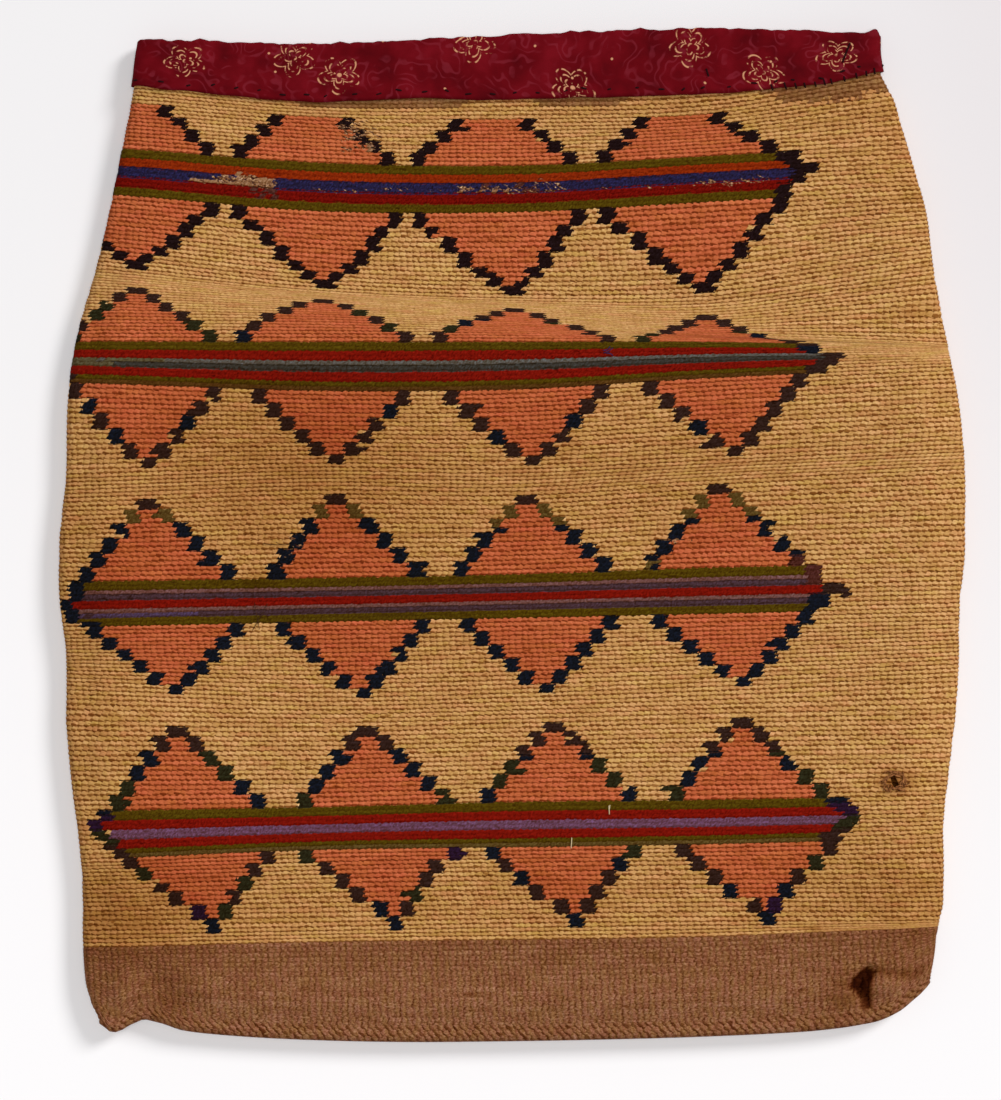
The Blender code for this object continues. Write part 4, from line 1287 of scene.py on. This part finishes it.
# Each flower is a dot and three rows of petals drawn in a broken line, with dots strewn between.
SPRIGS_APART, DOTS_APART = 50 * MM, 34 * MM
reach, angle = sprigs(cotton, SPRIGS_APART, 0.4, 0.62)
petals = worked_out("ABSOLUTE", worked_out("COSINE", times(angle, 2.5)))
flower = eased_between(reach, 0.9 * MM, 1.4 * MM, 1.0, 0.0)
for petal_long, petal_base in ((4.4 * MM, 6.2 * MM), (3.6 * MM, 3.8 * MM), (2.2 * MM, 2.2 * MM)):
    off_line = worked_out("ABSOLUTE", less(reach, scaled(petals, petal_long, petal_base)))
    petal_line = eased_between(off_line, 0.25 * MM, 0.62 * MM, 1.0, 0.0)
    flower = larger(petal_line, flower)
flower = times(flower, eased_between(clouds(cotton, 300.0, 2.0), 0.46, 0.58))
dot_reach, _angle = sprigs(cotton, DOTS_APART, 0.0, 1.0)
dots = eased_between(dot_reach, 0.45 * MM, 0.8 * MM, 1.0, 0.0)
printed = larger(flower, dots)
colour = tinted(printed, colour, paint((204, 146, 108)))
thread_tone = scaled(thread, 0.5, 0.75)
thread_tone = placed(thread_tone, thread_tone, thread_tone)
joined(tinted(1.0, colour, thread_tone, "MULTIPLY"), shader.inputs["Base Color"])
bumped(shader, thread, 0.12 * MM, 0.6)
strip.data.materials.clear()
strip.data.materials.append(printed_cotton)

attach(strip, "root")
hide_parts("mouth_binding")

# The sewing. Dark thread holds the strip: one length runs under its edge all the way round, and
# short stitches come through the cotton just above the edge.
THREAD = 0.9 * MM
HIDDEN_THREAD = 0.3 * MM
STITCH_GAP = 11.5 * MM
RUN_BENDS = 260  # points along the hidden run
RUN_ABOVE, RUN_OUT = 2.0 * MM, 0.16 * MM  # above the strip's edge, and out from the weave


def spun(tree, fineness):
    """The twist of a thread, from 0 to 1."""
    place = tree.nodes.new("ShaderNodeTexCoord").outputs["Object"]
    return group_in(fibres, Place=place, Along=fineness, Across=fineness)["Fibre"]


def thread_lines(name, lines, radius):
    """Round threads along some lines of points, as one mesh."""
    data = bpy.data.curves.new(name, "CURVE")
    data.dimensions = "3D"
    data.bevel_depth = radius
    data.bevel_resolution = 1
    data.use_fill_caps = True
    for points, closed in lines:
        spline = data.splines.new("POLY")
        spline.points.add(len(points) - 1)
        for point, place in zip(spline.points, points):
            point.co = (*place, 1.0)
        spline.use_cyclic_u = closed
    made = bpy.data.objects.new(name, data)
    bpy.context.scene.collection.objects.link(made)
    select_only(made)
    bpy.ops.object.convert(target="MESH")
    made = bpy.context.object
    bpy.ops.object.shade_smooth()
    return made


def on_strip(travel, above_hem, out):
    """A point on the strip, this far above its lower edge."""
    x = wall_place(rim_line, rim_ends, travel, 0.0)[0]
    return mouth_place(travel, rim_line(x) - hem_height(x) - above_hem, out)


run_points = [
    on_strip(2 * rim_across * n / RUN_BENDS, RUN_ABOVE, RUN_OUT) for n in range(RUN_BENDS)
]
hidden_run = thread_lines("hidden_run", [(run_points, True)], 0.5 * HIDDEN_THREAD)
ON_TOP = CLEAR + CLOTH + 0.75 * MM  # where a stitch lies on the cotton
SUNK = ON_TOP - 0.5 * MM  # where a stitch's ends dip into the cotton
sewing = []
count = int(2 * rim_across / STITCH_GAP)
for n in range(count):
    travel = (n + 0.5) * 2 * rim_across / count + chance.uniform(-2, 2) * MM
    long = chance.uniform(1.4, 3.0) * MM
    slope = chance.uniform(-1.0, 1.0) * MM
    up = chance.uniform(2.5, 4.8) * MM
    sewing.append(([
        on_strip(travel + long * share, up - slope * share, out)
        for share, out in ((-0.5, SUNK), (-0.3, ON_TOP), (0.0, ON_TOP), (0.3, ON_TOP), (0.5, SUNK))
    ], False))
# Towards the right end it is whipped over the edge as well.
travel = 0.84 * rim_across
while travel < 0.99 * rim_across:
    tall = chance.uniform(1.2, 2.6) * MM
    sewing.append(([
        on_strip(travel, -0.6 * MM, CLEAR + 0.2 * MM), on_strip(travel, 0.0, ON_TOP - 0.2 * MM),
        on_strip(travel + 0.2 * MM, 0.6 * tall, ON_TOP), on_strip(travel + 0.3 * MM, tall, SUNK),
    ], False))
    travel += chance.uniform(3.5, 7.0) * MM
# Two longer stitches pull the cloth together near the right end.
sewing.append(([
    on_strip(rim_across - (17 + n) * MM, (17 - 2.2 * n) * MM, ON_TOP + 0.1 * MM) for n in range(5)
], False))
sewing.append(([
    on_strip(0.762 * rim_across + 0.1 * MM * n, (12.5 - 1.3 * n) * MM, ON_TOP) for n in range(4)
], False))
stitching = thread_lines("stitching", sewing, 0.5 * THREAD)
select_only(hidden_run, stitching)
bpy.ops.object.join()
sewing_thread, tree, shader = new_material("sewing_thread", (30, 10, 12), 0.8, 0.04)
colour = tinted(spun(tree, 3000.0), paint((18, 6, 8)), paint((48, 18, 20)))
joined(colour, shader.inputs["Base Color"])
stitching.data.materials.append(sewing_thread)
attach(stitching, "root")
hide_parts("seam_thread")

# Loose ends. Short frayed bits of the yarn stand out of the weave: round the worn hole, where a
# length of blue wool is knotted off, and two bits of straw caught in the stitches.
def loose_bit(start, end, lift, curl):
    """A short strand that lies on the front. Places in mm across and up from the bottom."""
    points = []
    for n in range(7):
        share = n / 6
        x = start[0] + (end[0] - start[0]) * share
        y = start[1] + (end[1] - start[1]) * share
        x += curl * math.sin(2.6 * share + start[1])
        y += curl * math.cos(3.1 * share + start[0])
        z = front_height(x * MM, y * MM) / MM + 0.15 + lift * math.sin(math.pi * share)
        points.append((x * MM, y * MM + BOTTOM, z * MM))
    return points, False


hole_frays = []
for n in range(30):
    turn = 2.4 * n
    bend = turn + chance.choice((-1, 1)) * chance.uniform(0.5, 1.3)
    near, far = chance.uniform(2.9, 5.2), chance.uniform(4.4, 8.0)
    hole_frays.append((
        (HOLE[0] + near * math.cos(turn), HOLE[1] + 1.15 * near * math.sin(turn)),
        (HOLE[0] + far * math.cos(bend), HOLE[1] + 0.75 * far * math.sin(bend)),
        chance.uniform(0.4, 0.9), chance.uniform(-1.2, 1.2),
    ))
LOOSE_BITS = [
    ("hole_frays", 0.65, ((70, 30, 10), (178, 118, 70)), hole_frays),
    ("blue_tuft", 0.45, ((22, 26, 60), (44, 60, 110)), [
        ((46, 344), (49.5, 346), 0.8, 0.5), ((46.5, 343), (50, 343), 0.7, -0.6),
        ((45.5, 345), (48, 347), 0.6, 0.6),
    ]),
    ("dark_wisp", 0.3, ((44, 26, 16), (80, 50, 30)), [
        ((-129, 206), (-123, 218), 0.4, 0.8), ((-127, 206), (-128, 219), 0.4, -0.7),
        ((-112, 248), (-124, 249), 0.4, 0.5), ((-110, 246.5), (-106, 245), 0.4, 0.5),
    ]),
    ("straws", 0.5, ((196, 172, 128), (226, 208, 168)), [
        ((48.4, 118), (48.0, 113.5), 0.4, 0.3), ((49.2, 117.8), (48.0, 116.8), 0.4, 0.5),
        ((29.3, 102.1), (29.4, 96.6), 0.3, 0.2),
    ]),
]
for name, thick, (dark, pale), bits in LOOSE_BITS:
    strands = thread_lines(name, [loose_bit(*bit) for bit in bits], 0.5 * thick * MM)
    fibre_finish, tree, shader = new_material(name + "_fibre", dark, 0.85, 0.02)
    twist = eased_between(spun(tree, 700.0), 0.3, 0.7)
    joined(tinted(twist, paint(dark), paint(pale)), shader.inputs["Base Color"])
    strands.data.materials.append(fibre_finish)
    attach(strands, "root")

# The floor, the light and the camera. A pale sheet with painted light and shade on it, a large soft
# lamp to the upper right, a softer one overhead and even light all round, with the camera straight
# above the bag.
select_only()
bpy.ops.mesh.primitive_plane_add(size=6)
floor = bpy.context.object
floor.name = "floor"
floor_finish, tree, shader = new_material("pale_floor", (243, 241, 241), 0.9)
floor_x, floor_y = apart(tree.nodes.new("ShaderNodeTexCoord").outputs["Object"])
# The sheet is painted lighter towards the bottom of the view and a little darker at the right, as painted
# light and shade.
nearer = eased_between(floor_y, 0.30, -0.32)
colour = tinted(nearer, paint((243, 241, 242)), paint((255, 253, 254)))
rightward = times(eased_between(floor_x, 0.10, 0.26), less(1.0, nearer))
colour = tinted(rightward, colour, (0.93, 0.90, 0.905, 1.0), "MULTIPLY")
joined(colour, shader.inputs["Base Color"])
floor.data.materials.append(floor_finish)

scene = bpy.context.scene
scene.world = bpy.data.worlds.new("studio")
scene.world.use_nodes = True
background = scene.world.node_tree.nodes["Background"]
background.inputs["Color"].default_value = (1.0, 1.0, 1.0, 1.0)
background.inputs["Strength"].default_value = 0.20

for name, power, softness, place in (
    ("soft_lamp", 1.80, 18, (1.45, 1.15, 1.2)), ("overhead_lamp", 1.52, 24, (0, 0, 2))
):
    lamp_data = bpy.data.lights.new(name, "SUN")
    lamp_data.energy = power
    lamp_data.angle = math.radians(softness)
    lamp = bpy.data.objects.new(name, lamp_data)
    scene.collection.objects.link(lamp)
    lamp.location = place
    lamp.rotation_euler = (-lamp.location).to_track_quat("-Z", "Y").to_euler()

CAMERA_HIGH, CAMERA_AWAY = 2.4, 2.39  # above the floor, and above the front of the bag
SEEN = 0.5500  # what the picture's longer side shows there, in metres
SENSOR = 36.0  # in mm
camera_data = bpy.data.cameras.new("camera")
camera = bpy.data.objects.new("camera", camera_data)
scene.collection.objects.link(camera)
camera.location = (-6 * MM, -6.5 * MM, CAMERA_HIGH)
camera_data.sensor_width = SENSOR
camera_data.lens = SENSOR * CAMERA_AWAY / SEEN
camera_data.clip_end = 20.0
scene.camera = camera
scene.view_settings.view_transform = "Standard"
